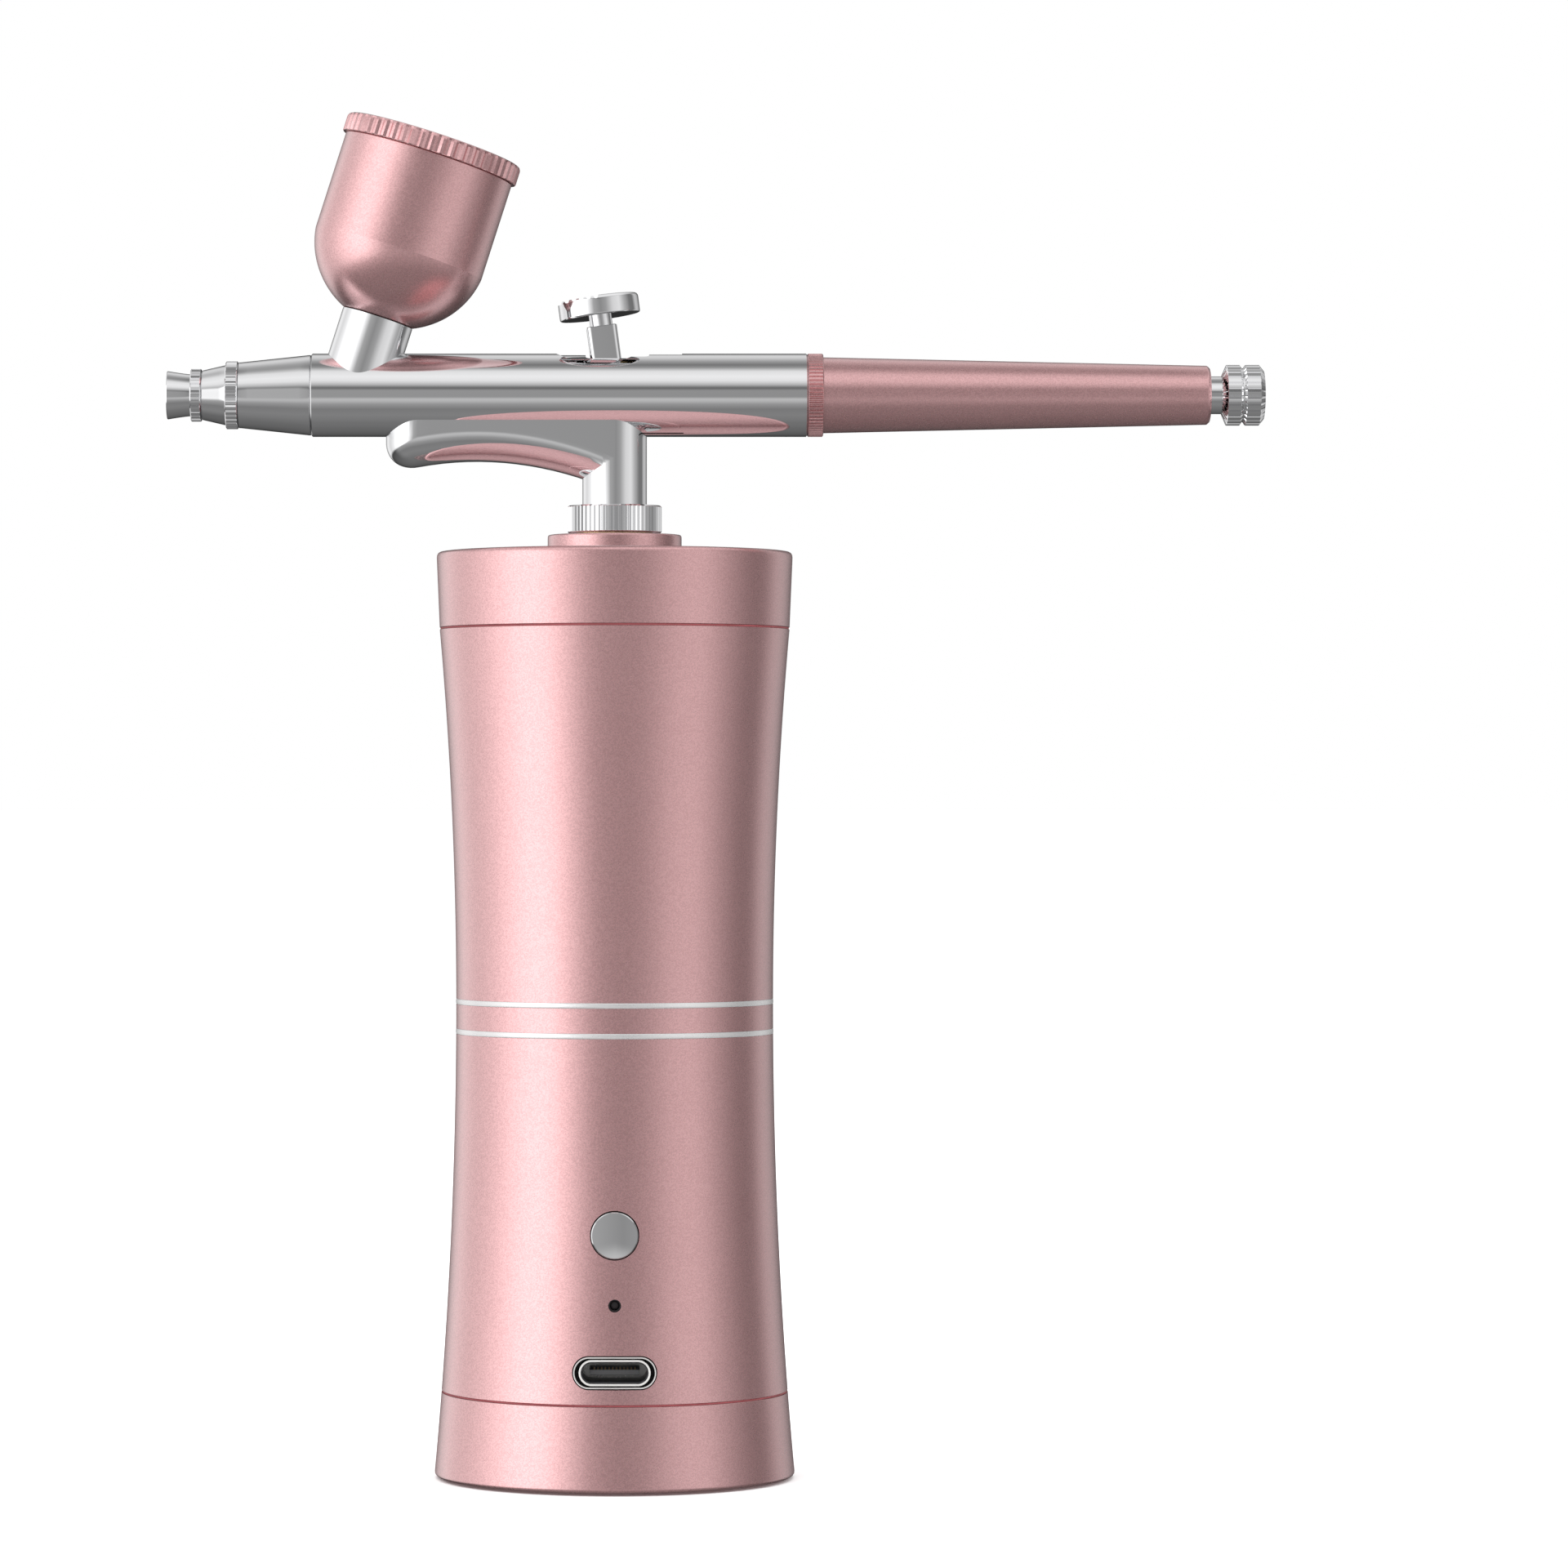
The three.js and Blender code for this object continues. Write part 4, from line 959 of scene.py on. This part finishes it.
def make_hook():
    """The finger hook: a round-bottomed bar whose rings are pulled on from the tip to the stem."""
    tip = HOOK_RADIUS - HOOK_REACH
    places = [tip - HOOK_RADIUS * math.cos(math.radians(4 + 86 * i / 12)) for i in range(13)]
    places += [tip - tip * i / 16 for i in range(1, 17)]
    top = AXIS - 1
    first = places[0]
    half = hook_half(first)
    centre = hook_underside(first) + HOOK_RADIUS
    arc = [math.pi * i / 24 for i in range(25)]
    points = [(first, half, top)]
    points += [(first, half * math.cos(a), centre - half * math.sin(a)) for a in arc]
    points += [(first, -half, top)]
    piece = lay_path("hook", points)
    bpy.ops.mesh.select_all(action="SELECT")
    bpy.ops.mesh.edge_face_add()
    for last, place in zip(places, places[1:]):
        last_half, half = half, hook_half(place)
        last_centre, centre = centre, hook_underside(place) + HOOK_RADIUS
        step = ((place - last) * MM, 0, (centre - last_centre) * MM)
        bpy.ops.mesh.extrude_region_move(TRANSFORM_OT_translate={"value": step})
        share = half / last_half
        resize(y=share, z=share, about=(place, 0, centre))
        raised = centre + (top - last_centre) * share
        newest = (place - CLOSE) * MM
        pick(piece, lambda corner: corner.co.x > newest and corner.co.z > (raised - 0.2) * MM)
        move(z=top - raised)
        pick(piece, lambda face: face.calc_center_median().x > newest, "FACE")
    return seal_and_smooth(piece)


def body_bores():
    """The barrel's lengthwise bore, the cup's bore and the valve's bore."""
    head_bore = 3.4
    fluid_bore = 1.6
    packing_bore, packing_front = 2.2, -24
    rear_bore, rear_start = 3.9, 8.2
    stem_bore = 2.9
    valve_hole = 1.25
    lengthwise = turned(
        "barrel_bore",
        [
            (0, BARREL_FRONT - 1),
            (head_bore, BARREL_FRONT - 1),
            (head_bore, BARREL_FRONT + 2),
            (fluid_bore, BARREL_FRONT + 2),
            (fluid_bore, packing_front),
            (packing_bore, packing_front),
            (packing_bore, rear_start),
            (rear_bore, rear_start),
            (rear_bore, BARREL_REAR + 1),
            (0, BARREL_REAR + 1),
        ],
        64,
    )
    thread_radius = NIPPLE + 0.3
    thread_bottom = NECK_TOP - 5.95
    cup_bore = turned(
        "cup_bore",
        [
            (0, 0),
            (fluid_bore, 0),
            (fluid_bore, thread_bottom),
            (thread_radius, thread_bottom),
            *bowl(0.12, thread_radius, NECK_RADIUS + 1, 8),
            (0, CUP_SHOULDER),
        ],
        96,
    )
    seat = Span("valve_plunger").top - 0.9
    valve_bore = turned(
        "valve_bore",
        [
            (0, body.bottom - 1),
            (stem_bore, body.bottom - 1),
            (stem_bore, seat),
            (valve_hole, seat),
            (valve_hole, AXIS),
            (0, AXIS),
        ],
        64,
    )
    return along_barrel(lengthwise), on_cup(cup_bore), valve_bore


DISH_CENTRE = -2.2
DISH_DEPTH = 0.2
DISH_HALF_LENGTH = 5.3
DISH_HALF_WIDTH = 3.9
FLAT_DEPTH = 0.2
FLAT_END = 8.6
SLOT_FRONT = -3.7
SLOT_REAR = 4.4
SLOT_HALF = 2.25


def trigger_openings():
    """The shallow oval seat, the flat behind it and the slot that the trigger works in."""
    top = AXIS + BARREL_RADIUS
    dish = turned("dish", [(0, AXIS), (1, AXIS), (1, top + 1), (0, top + 1)], 128)
    dish.scale = (DISH_HALF_LENGTH, DISH_HALF_WIDTH, 1)
    dish.location = (DISH_CENTRE * MM, 0, 0)
    make_active(dish)
    bpy.ops.object.transform_apply(location=True, rotation=True, scale=True)
    core_radius = BARREL_RADIUS - DISH_DEPTH
    low, high = DISH_CENTRE - 2 * DISH_HALF_LENGTH, DISH_CENTRE + 2 * DISH_HALF_LENGTH
    core = turned("dish_floor", [(0, low), (core_radius, low), (core_radius, high), (0, high)], 192)
    combined(dish, along_barrel(core), "DIFFERENCE")
    flat = block("flat", (DISH_CENTRE, -6, top - FLAT_DEPTH), (FLAT_END, 6, top + 1))
    slot = block("slot", (SLOT_FRONT, -SLOT_HALF, AXIS - 5), (SLOT_REAR, SLOT_HALF, top + 1))
    pocket = block("pocket", (SLOT_FRONT, -SLOT_HALF, AXIS - 5), (9.2, SLOT_HALF, AXIS + 3.9))
    for cutter in (slot, pocket):
        modified(cutter, "BEVEL", width=0.5 * MM, segments=4, limit_method="NONE")
    return dish, flat, slot, pocket


def make_body():
    """Barrel, cup neck, finger hook and stem in one, then its bores and the trigger's openings."""
    edge = 0.12
    barrel = turned(
        "airbrush_barrel",
        [
            (0, BARREL_FRONT),
            (BARREL_RADIUS - edge, BARREL_FRONT),
            (BARREL_RADIUS, BARREL_FRONT + edge),
            *[(BARREL_RADIUS, BARREL_FRONT + 1 + 2 * i) for i in range(1, 31)],
            (BARREL_RADIUS, BARREL_REAR - edge),
            (BARREL_RADIUS - edge, BARREL_REAR),
            (0, BARREL_REAR),
        ],
        192,
    )
    along_barrel(barrel)
    collar = 4.9
    collar_top = body.bottom + 0.9
    stem = turned(
        "stem",
        [
            (0, body.bottom),
            (collar, body.bottom, 0.1),
            (collar, collar_top, 0.12),
            (STEM_RADIUS, collar_top),
            (STEM_RADIUS, AXIS - 3),
            (STEM_RADIUS, AXIS),
            (0, AXIS),
        ],
        128,
    )
    neck_side = [(NECK_RADIUS, (NECK_TOP + 1) * i / 6) for i in range(7)]
    neck = turned("neck", [(0, 0), *neck_side, (0, NECK_TOP + 1)], 128)
    for other in (stem, on_cup(neck), make_hook()):
        combined(barrel, other, "UNION")
    for cutter in (*body_bores(), *trigger_openings()):
        combined(barrel, cutter, "DIFFERENCE")
    weighted(seal_and_smooth(barrel, 25))
    finished(barrel, "chrome", "airbrush", "airbrush_body")


def make_nut():
    """The coupling nut with fine flutes between two plain rims."""
    node = Span("coupling_nut")
    count = 58
    radius = node.radius
    bore = STEM_RADIUS + 0.23
    lip_top = node.top
    corners = [
        (bore + 0.1, lip_top - 0.6),
        (bore, lip_top, 0.1),
        (radius - 0.2, lip_top),
        (radius, lip_top - 0.16),
        (radius, lip_top - 0.2),
        (radius, node.bottom + 0.2),
        (radius, node.bottom + 0.16),
        (radius - 0.2, node.bottom),
        (5.2, node.bottom, 0.1),
        (5.2, lip_top - 0.6, 0.1),
        (bore + 0.1, lip_top - 0.6),
    ]
    piece = turned("knurled_nut", corners, count * 4)
    flute(piece, node.bottom + 0.18, lip_top - 0.18, radius - 0.1, count, 0.2)
    seal_and_smooth(piece, 20)
    finished(piece, "chrome", "nut", "coupling_nut")


make_body()
make_nut()


# ---- Head: sleeve, air cap, needle cap, fluid tip and needle ----


def make_sleeve():
    """The head's sleeve, tapered in a slight bow."""
    rear = -38.65
    front = sleeve.left
    edge = 0.1
    corners = [
        (0.9, sleeve.right),
        (3.25, sleeve.right, 0.1),
        (3.25, rear),
        (BARREL_RADIUS - 0.19 - edge, rear),
        (BARREL_RADIUS - 0.19, rear - edge),
        *[(5.11 - 0.92 * i / 8, rear - 0.3 - 8.7 * i / 8) for i in range(9)],
        (4.19, front + 0.06),
        (4.1, front),
        (3.1, front),
        (3.1, front + 2.8),
        (2.15, front + 2.8),
        (2.15, front + 6.1),
        (0.9, front + 6.1),
        (0.9, (front + rear) / 2),
        (0.9, sleeve.right),
    ]
    piece = along_barrel(turned("tapered_sleeve", corners, 160))
    finished(piece, "chrome", "airbrush", "head_sleeve")


def make_air_cap():
    """The air cap: a finely fluted ring, a short cone and a nose."""
    node = Span("nozzle_cap")
    count = 38
    rear = sleeve.left - 0.05
    ring_front = rear - 1.56
    front = ring_front - 3.07
    ring = node.radius
    corners = [
        (2.3, node.right),
        (2.95, node.right, 0.1),
        (2.95, rear),
        (ring - 0.15, rear),
        (ring, rear - 0.1),
        (ring, rear - 0.14),
        (ring, ring_front + 0.14),
        (ring, ring_front + 0.1),
        (ring - 0.15, ring_front),
        (3.86, ring_front),
        *[(3.82 - 0.66 * i / 4, ring_front - 0.1 - 2.85 * i / 4) for i in range(5)],
        (3.05, front),
        (1.9, front, 0.1),
        (1.9, node.left, 0.15),
        (0.95, node.left, 0.1),
        (0.95, node.left + 1),
        (2.3, rear),
        (2.3, node.right),
    ]
    piece = turned("air_cap", corners, count * 4)
    flute(piece, ring_front + 0.12, rear - 0.12, ring - 0.1, count, 0.17)
    seal_and_smooth(piece, 20)
    along_barrel(piece)
    finished(piece, "chrome", "airbrush", "nozzle_cap")


def make_needle_cap():
    """The flared crown with its coarse grip ring."""
    node = Span("needle_cap")
    count = 24
    rear = node.right
    ring_front = rear - 1.35
    ring = node.radius
    lip = 3.07
    neck = 2.67
    corners = [
        (2.05, rear),
        (ring - 0.12, rear),
        (ring, rear - 0.1),
        (ring, rear - 0.14),
        (ring, ring_front + 0.14),
        (ring, ring_front + 0.1),
        (ring - 0.12, ring_front),
        (neck, ring_front),
        *[(neck + (lip - neck) * (i / 6) ** 1.2, ring_front - 0.1 - 2.85 * i / 6) for i in range(7)],
        (lip - 0.05, node.left),
        (lip - 0.4, node.left, 0.1),
        *[(lip - 0.42 - 0.6 * i / 4, node.left + 0.2 + 2.4 * i / 4) for i in range(5)],
        (2.05, ring_front),
        (2.05, rear),
    ]
    piece = turned("flared_crown", corners, count * 6)
    flute(piece, ring_front + 0.12, rear - 0.12, ring - 0.1, count, 0.3, land=3, width=6)
    seal_and_smooth(piece, 20)
    along_barrel(piece)
    finished(piece, "chrome", "airbrush", "needle_cap")


def make_fluid_tip():
    """The brass tip that the needle closes."""
    node = Span("fluid_nozzle")
    back = node.right
    tip = node.left
    corners = [
        (0.75, back),
        (2, back, 0.1),
        (2, back - 2.85, 0.1),
        (1.3, back - 2.85),
        (0.9, tip + 4, 0.5),
        (0.42, tip, 0.05),
        (0.3, tip),
        (0.42, tip + 2.5),
        (0.75, tip + 5.1),
        (0.75, back - 2),
        (0.75, back),
    ]
    piece = along_barrel(turned("fluid_tip", corners, 64))
    finished(piece, "brass", "airbrush", "fluid_nozzle")


def make_needle():
    node = Span("needle")
    taper = 5.1
    tip = [(0.5 * (i / 8) ** 0.9, node.left + taper * i / 8) for i in range(9)]
    corners = [*tip, (0.5, 0), (0.5, node.right, 0.1), (0, node.right)]
    piece = along_barrel(turned("paint_needle", corners, 48))
    finished(piece, "steel", "needle_set", "needle")


make_sleeve()
make_air_cap()
make_needle_cap()
make_fluid_tip()
make_needle()


# ---- Trigger ----

PIVOT = 134.3
LEAN = -7.7


def make_trigger():
    """The trigger: a slotted block, a round neck and a grooved finger pad, leaning forwards."""
    half = 1.95
    shank = block("finger_trigger", (-half, -half, 1), (half, half, 12.5))
    open_piece(shank)
    pick(shank, lambda edge: abs(edge.verts[0].co.z - edge.verts[1].co.z) > MM, "EDGE")
    bpy.ops.mesh.bevel(offset=0.65 * MM, segments=5)
    softened(shank, 0.14, 2)
    ball = [(0, -0.95), (0.5, -0.82), (0.82, -0.5), (0.95, 0), (0.85, 0.45), (0.76, 0.6)]
    foot = turned("trigger_foot", [*ball, (0.76, 1.4), (0, 1.4)], 48)
    neck_radius = 1.45
    neck = turned("trigger_neck", [(0, 12), (neck_radius, 12), (neck_radius, 14), (0, 14)], 64)
    pad = make_pad()
    for other in (foot, neck, pad):
        combined(shank, other, "UNION")
    slot = block("needle_slot", (-4, -0.8, 1.6), (4, 0.8, 8.6))
    modified(slot, "BEVEL", width=0.75 * MM, segments=5, limit_method="NONE")
    combined(shank, slot, "DIFFERENCE")
    weighted(seal_and_smooth(shank, 25))
    put(shank, (0, LEAN, 0), (0, 0, PIVOT))
    finished(shank, "chrome", "trigger", "trigger")


def make_pad():
    """The round pad: its rear half plain and its front half a little lower, with five grip ridges."""
    radius = 5.15
    low, high = 13.7, 16.2
    step = 0.1
    floor = high - 0.45
    pitch = 0.93
    first = -radius + 0.25
    ridges = 5
    pad = turned(
        "finger_pad",
        [(0, low), (radius, low, 0.28), (radius, high - 1), (radius, high, 0.5), (0, high)],
        128,
    )
    rear = first + ridges * pitch
    combined(pad, block("pad_step", (-6, -6, high - step), (rear, 6, high + 1)), "DIFFERENCE")
    for i in range(ridges + 1):
        middle = first + i * pitch
        points = [(middle - 0.36, -6, high + 0.02), (middle + 0.36, -6, high + 0.02)]
        points += [(middle + 0.2, -6, floor + 0.05), (middle, -6, floor), (middle - 0.2, -6, floor + 0.05)]
        groove = lay_path(f"pad_groove_{i}", points)
        bpy.ops.mesh.select_all(action="SELECT")
        bpy.ops.mesh.edge_face_add()
        bpy.ops.mesh.extrude_region_move(TRANSFORM_OT_translate={"value": (0, 12 * MM, 0)})
        combined(pad, seal_and_smooth(groove), "DIFFERENCE")
    return pad


make_trigger()


# ---- Tail handle and limit knob ----


def make_tail():
    """The tail handle: a fluted ring, then a long taper."""
    count = 62
    front = handle_tail.left
    rear = handle_tail.right
    taper = front + 2
    ring = handle_tail.radius
    edge = 0.12
    slope = [(4.83 - 1.07 * i / 16, taper + 0.1 + (rear - 0.6 - taper) * i / 16) for i in range(17)]
    corners = [
        (4, front),
        (ring - edge, front),
        (ring, front + edge),
        (ring, front + edge + 0.04),
        (ring, taper - edge - 0.04),
        (ring, taper - edge),
        (ring - edge, taper),
        (4.83, taper),
        *slope,
        (3.74, rear - 0.35, 0.2),
        (3.4, rear, 0.15),
        (2.7, rear, 0.1),
        (2.7, rear - 6),
        (2.75, rear - 6.2),
        (2.75, 46),
        (3.7, 45.7),
        (4, 40),
        (4, front),
    ]
    piece = turned("pink_tail", corners, count * 4)
    flute(piece, front + 0.14, taper - 0.14, ring - 0.12, count, 0.22)
    seal_and_smooth(piece, 20)
    along_barrel(piece)
    finished(piece, "pink_metal", "airbrush", "tail_handle")


def make_knob():
    """The limit knob: coarse flutes, a groove round its middle, and a thinner shank."""
    node = Span("limit_knob")
    count = 27
    radius = node.radius
    rear = node.right
    front = rear - 5.41
    middle = front + 2.7
    half = 0.37
    depth = 0.42
    corners = [
        (0, node.left),
        (2.4, node.left, 0.15),
        (2.4, front),
        (radius - 1.5, front),
        (radius - 0.06, front + 0.62),
        (radius, front + 0.66),
        (radius, front + 1.4),
        (radius, middle - half),
        (radius - depth, middle - 0.08),
        (radius - depth, middle + 0.08),
        (radius, middle + half),
        (radius, rear - 1.4),
        (radius, rear - 0.6),
        (radius - 0.06, rear - 0.55),
        (radius - 0.75, rear),
        (2.1, rear, 0.2),
        (1.8, rear - 0.35, 0.2),
        (0, rear - 0.35),
    ]
    piece = turned("fluted_knob", corners, count * 6)
    flute(piece, front + 0.6, middle - half, radius - 0.1, count, 0.3, land=4, width=6)
    flute(piece, middle + half, rear - 0.5, radius - 0.1, count, 0.3, land=4, width=6)
    seal_and_smooth(piece, 20)
    along_barrel(piece)
    finished(piece, "chrome", "limit_knob", "limit_knob")


make_tail()
make_knob()


# ---- Cup and lid ----


def make_cup():
    """The colour cup with its rim step, round bottom and ringed nipple, and the gasket under it."""
    rim_bottom = CUP_SHOULDER + 12.69
    rim_top = rim_bottom + 1.5
    inside = CUP_RADIUS - CUP_WALL
    nipple_bottom = NECK_TOP - 5
    thread = []
    turns = 6
    pitch = 0.6
    root = NIPPLE - 0.25
    for i in range(turns):
        low = nipple_bottom + 0.5 + pitch * i
        thread += [(root, low), (NIPPLE, low + 0.2), (NIPPLE, low + 0.3), (root, low + 0.5)]
    corners = [
        (inside, rim_top),
        (CUP_RADIUS - 0.6, rim_top, 0.15),
        (CUP_RADIUS - 0.6, rim_bottom),
        (CUP_RADIUS - 0.08, rim_bottom),
        (CUP_RADIUS, rim_bottom - 0.1),
        *[(CUP_RADIUS, rim_bottom - 0.5 - 11.69 * i / 6) for i in range(7)],
        *bowl(0, CUP_RADIUS, NIPPLE, 36),
        *reversed(thread),
        (NIPPLE - 0.3, nipple_bottom + 0.2),
        (NIPPLE - 0.4, nipple_bottom),
        (1.4, nipple_bottom, 0.1),
        *bowl(-CUP_WALL, 1.4, inside, 28),
        (inside, CUP_SHOULDER + 6),
        (inside, rim_top),
    ]
    piece = on_cup(seal_and_smooth(turned("colour_cup", corners, 160), 6))
    finished(piece, "pink_metal", "cup", "cup")
    ring_low, ring_high = nipple_bottom - 0.8, nipple_bottom - 0.05
    corners = [
        (1.4, ring_low, 0.15),
        (NIPPLE - 0.15, ring_low, 0.3),
        (NIPPLE - 0.15, ring_high, 0.3),
        (1.4, ring_high, 0.15),
        (1.4, (ring_low + ring_high) / 2),
        (1.4, ring_low),
    ]
    seal = on_cup(turned("cup_gasket", corners, 64))
    finished(seal, "black_rubber", "cup", "cup_seal")


def make_lid():
    """The lid, with grip ribs round its side and a rolled top edge."""
    count = 53
    radius = 11.55
    bottom = CUP_SHOULDER + 12.74
    top = bottom + 2.4
    ceiling = CUP_SHOULDER + 14.24
    corners = [
        (0, ceiling - 1.6),
        (9.3, ceiling - 1.6, 0.2),
        (9.3, ceiling),
        (CUP_RADIUS - 0.45, ceiling),
        (CUP_RADIUS - 0.45, bottom, 0.1),
        (radius - 0.1, bottom),
        (radius, bottom + 0.1),
        (radius, bottom + 0.16),
        (radius, top - 0.5),
        (radius - 0.03, top - 0.35),
        (radius - 0.16, top - 0.12),
        (radius - 0.4, top),
        (radius - 0.9, top),
        (0, top),
    ]
    piece = turned("ribbed_lid", corners, count * 4)
    flute(piece, bottom + 0.08, top - 0.36, radius - 0.12, count, 0.24)
    seal_and_smooth(piece, 20)
    on_cup(piece)
    finished(piece, "pink_metal", "lid", "cup_lid")


make_cup()
make_lid()


# ---- Floor, lights and surroundings ----

FLOOR_SIZE = 60
MATT_LIGHT = 1.15


def make_floor():
    """A wide pale floor."""
    deselect()
    bpy.ops.mesh.primitive_plane_add(size=FLOOR_SIZE)
    floor = new_piece("floor")
    bpy.ops.mesh.subdivide(number_cuts=4)
    bpy.ops.object.mode_set(mode="OBJECT")
    floor.visible_glossy = False
    paint = Finish("pale_floor", base_color=(0.92, 0.92, 0.92), roughness=1.0, specular_ior_level=0.0)
    floor.data.materials.append(paint.material)


def make_softbox(name, location, aim, size, power):
    """A soft lamp at a place, turned towards a point, that only lights matt surfaces."""
    bpy.ops.object.light_add(type="AREA", location=location)
    lamp = bpy.context.object
    lamp.name = name
    lamp.data.shape = "RECTANGLE"
    lamp.data.size, lamp.data.size_y = size
    lamp.data.energy = power
    lamp.visible_glossy = False
    direction = [b - a for a, b in zip(location, aim)]
    flat = math.hypot(direction[0], direction[1])
    tilt = math.atan2(flat, -direction[2])
    turn = math.atan2(direction[0], -direction[1])
    lamp.rotation_euler = (tilt, 0, turn + math.pi)


# Brightness of the studio seen level with the gun, by degrees round from the front, right positive.
LEVEL_STOPS = (
    (-180, 0.02),
    (-168, 0.08),
    (-154, 0.6),
    (-140, 1.0),
    (-118, 0.8),
    (-98, 1.0),
    (-64, 1.8),
    (-46, 1.8),
    (-30, 1.05),
    (-15, 0.42),
    (4, 0.29),
    (20, 0.38),
    (40, 0.74),
    (60, 0.84),
    (76, 0.5),
    (98, 0.2),
    (114, 0.18),
    (130, 0.6),
    (144, 0.5),
    (160, 0.16),
    (180, 0.02),
)
# Brightness from level to straight up, and from level to straight down, in front and behind.
ABOVE_FRONT_STOPS = (
    (0, 0.36),
    (9, 0.2),
    (14, 0.13),
    (19, 0.2),
    (27, 0.56),
    (38, 0.88),
    (50, 0.96),
    (66, 0.85),
    (80, 0.32),
    (90, 0.2),
)
ABOVE_BACK_STOPS = ((0, 0.03), (20, 0.05), (34, 0.5), (45, 0.75), (56, 0.7), (75, 0.38), (90, 0.2))
BELOW_FRONT_STOPS = (
    (0, 0.42),
    (8, 0.54),
    (14, 0.57),
    (20, 0.5),
    (28, 0.34),
    (42, 0.22),
    (60, 0.24),
    (90, 0.18),
)
BELOW_BACK_STOPS = ((0, 0.02), (20, 0.05), (36, 0.1), (60, 0.14), (90, 0.18))
# Degrees up or down over which the level bands give way in front, and how much later at the sides.
ABOVE_FROM, ABOVE_FULL, ABOVE_LATER = 8, 17, 22
BELOW_FROM, BELOW_FULL, BELOW_LATER = 6, 15, 15


def make_surroundings():
    """A studio of soft bands for the metal to mirror, plain white where the camera looks past it."""
    world = bpy.data.worlds.new("studio")
    bpy.context.scene.world = world
    world.use_nodes = True
    world.cycles.sampling_method = "NONE"
    graph = Graph(world.node_tree)
    out = graph.nodes["Background"]
    direction = graph.node("ShaderNodeTexCoord", output=0)
    x, y, z = (graph.node("ShaderNodeSeparateXYZ", {}, {0: direction}, output=i) for i in range(3))
    around = x.maths("ARCTAN2", x, 0 - y) * (180 / math.pi)
    height = z.maths("ARCSINE", z) * (180 / math.pi)
    level = banded(graph, around, LEVEL_STOPS)
    frontness = (0 - y).between(-0.25, 0.25)
    above_front = banded(graph, height, ABOVE_FRONT_STOPS)
    above_back = banded(graph, height, ABOVE_BACK_STOPS)
    above = above_front * frontness + above_back * (1 - frontness)
    below_front = banded(graph, 0 - height, BELOW_FRONT_STOPS)
    below_back = banded(graph, 0 - height, BELOW_BACK_STOPS)
    below = below_front * frontness + below_back * (1 - frontness)
    to_side = x.maths("ABSOLUTE", x)
    up = (height - to_side * ABOVE_LATER).between(ABOVE_FROM, ABOVE_FULL)
    down = (0 - height - to_side * BELOW_LATER).between(BELOW_FROM, BELOW_FULL)
    bands = level * (1 - up) * (1 - down) + above * up + below * down
    camera_ray = graph.node("ShaderNodeLightPath", output=0)
    glossy_ray = graph.node("ShaderNodeLightPath", output=3)
    light = bands * glossy_ray + MATT_LIGHT * (1 - glossy_ray)
    strength = light * (1 - camera_ray) + camera_ray
    out.inputs["Color"].default_value = (1, 1, 1, 1)
    graph.feed(out.inputs["Strength"], strength)


def banded(graph, value, stops):
    """Follows (degrees, brightness) stops with a ramp, whose stops hold at most 1."""
    low, high = stops[0][0], stops[-1][0]
    most = max(brightness for _, brightness in stops)
    share = value.between(low, high, "LINEAR")
    places = [((degrees - low) / (high - low), brightness / most) for degrees, brightness in stops]
    settings = {"stops": places}
    return graph.node("ShaderNodeValToRGB", settings, {"Fac": share}) * most


make_floor()
make_softbox("key_softbox", (-0.7, -0.9, 0.9), (0, 0, 0.09), (0.8, 0.8), 6)
make_softbox("fill_softbox", (0.8, -0.7, 0.5), (0, 0, 0.09), (0.7, 0.7), 3)
make_softbox("top_softbox", (0, 0.2, 1.4), (0, 0, 0.09), (1.2, 1.2), 8)
make_surroundings()
bpy.context.scene.view_settings.view_transform = "Standard"
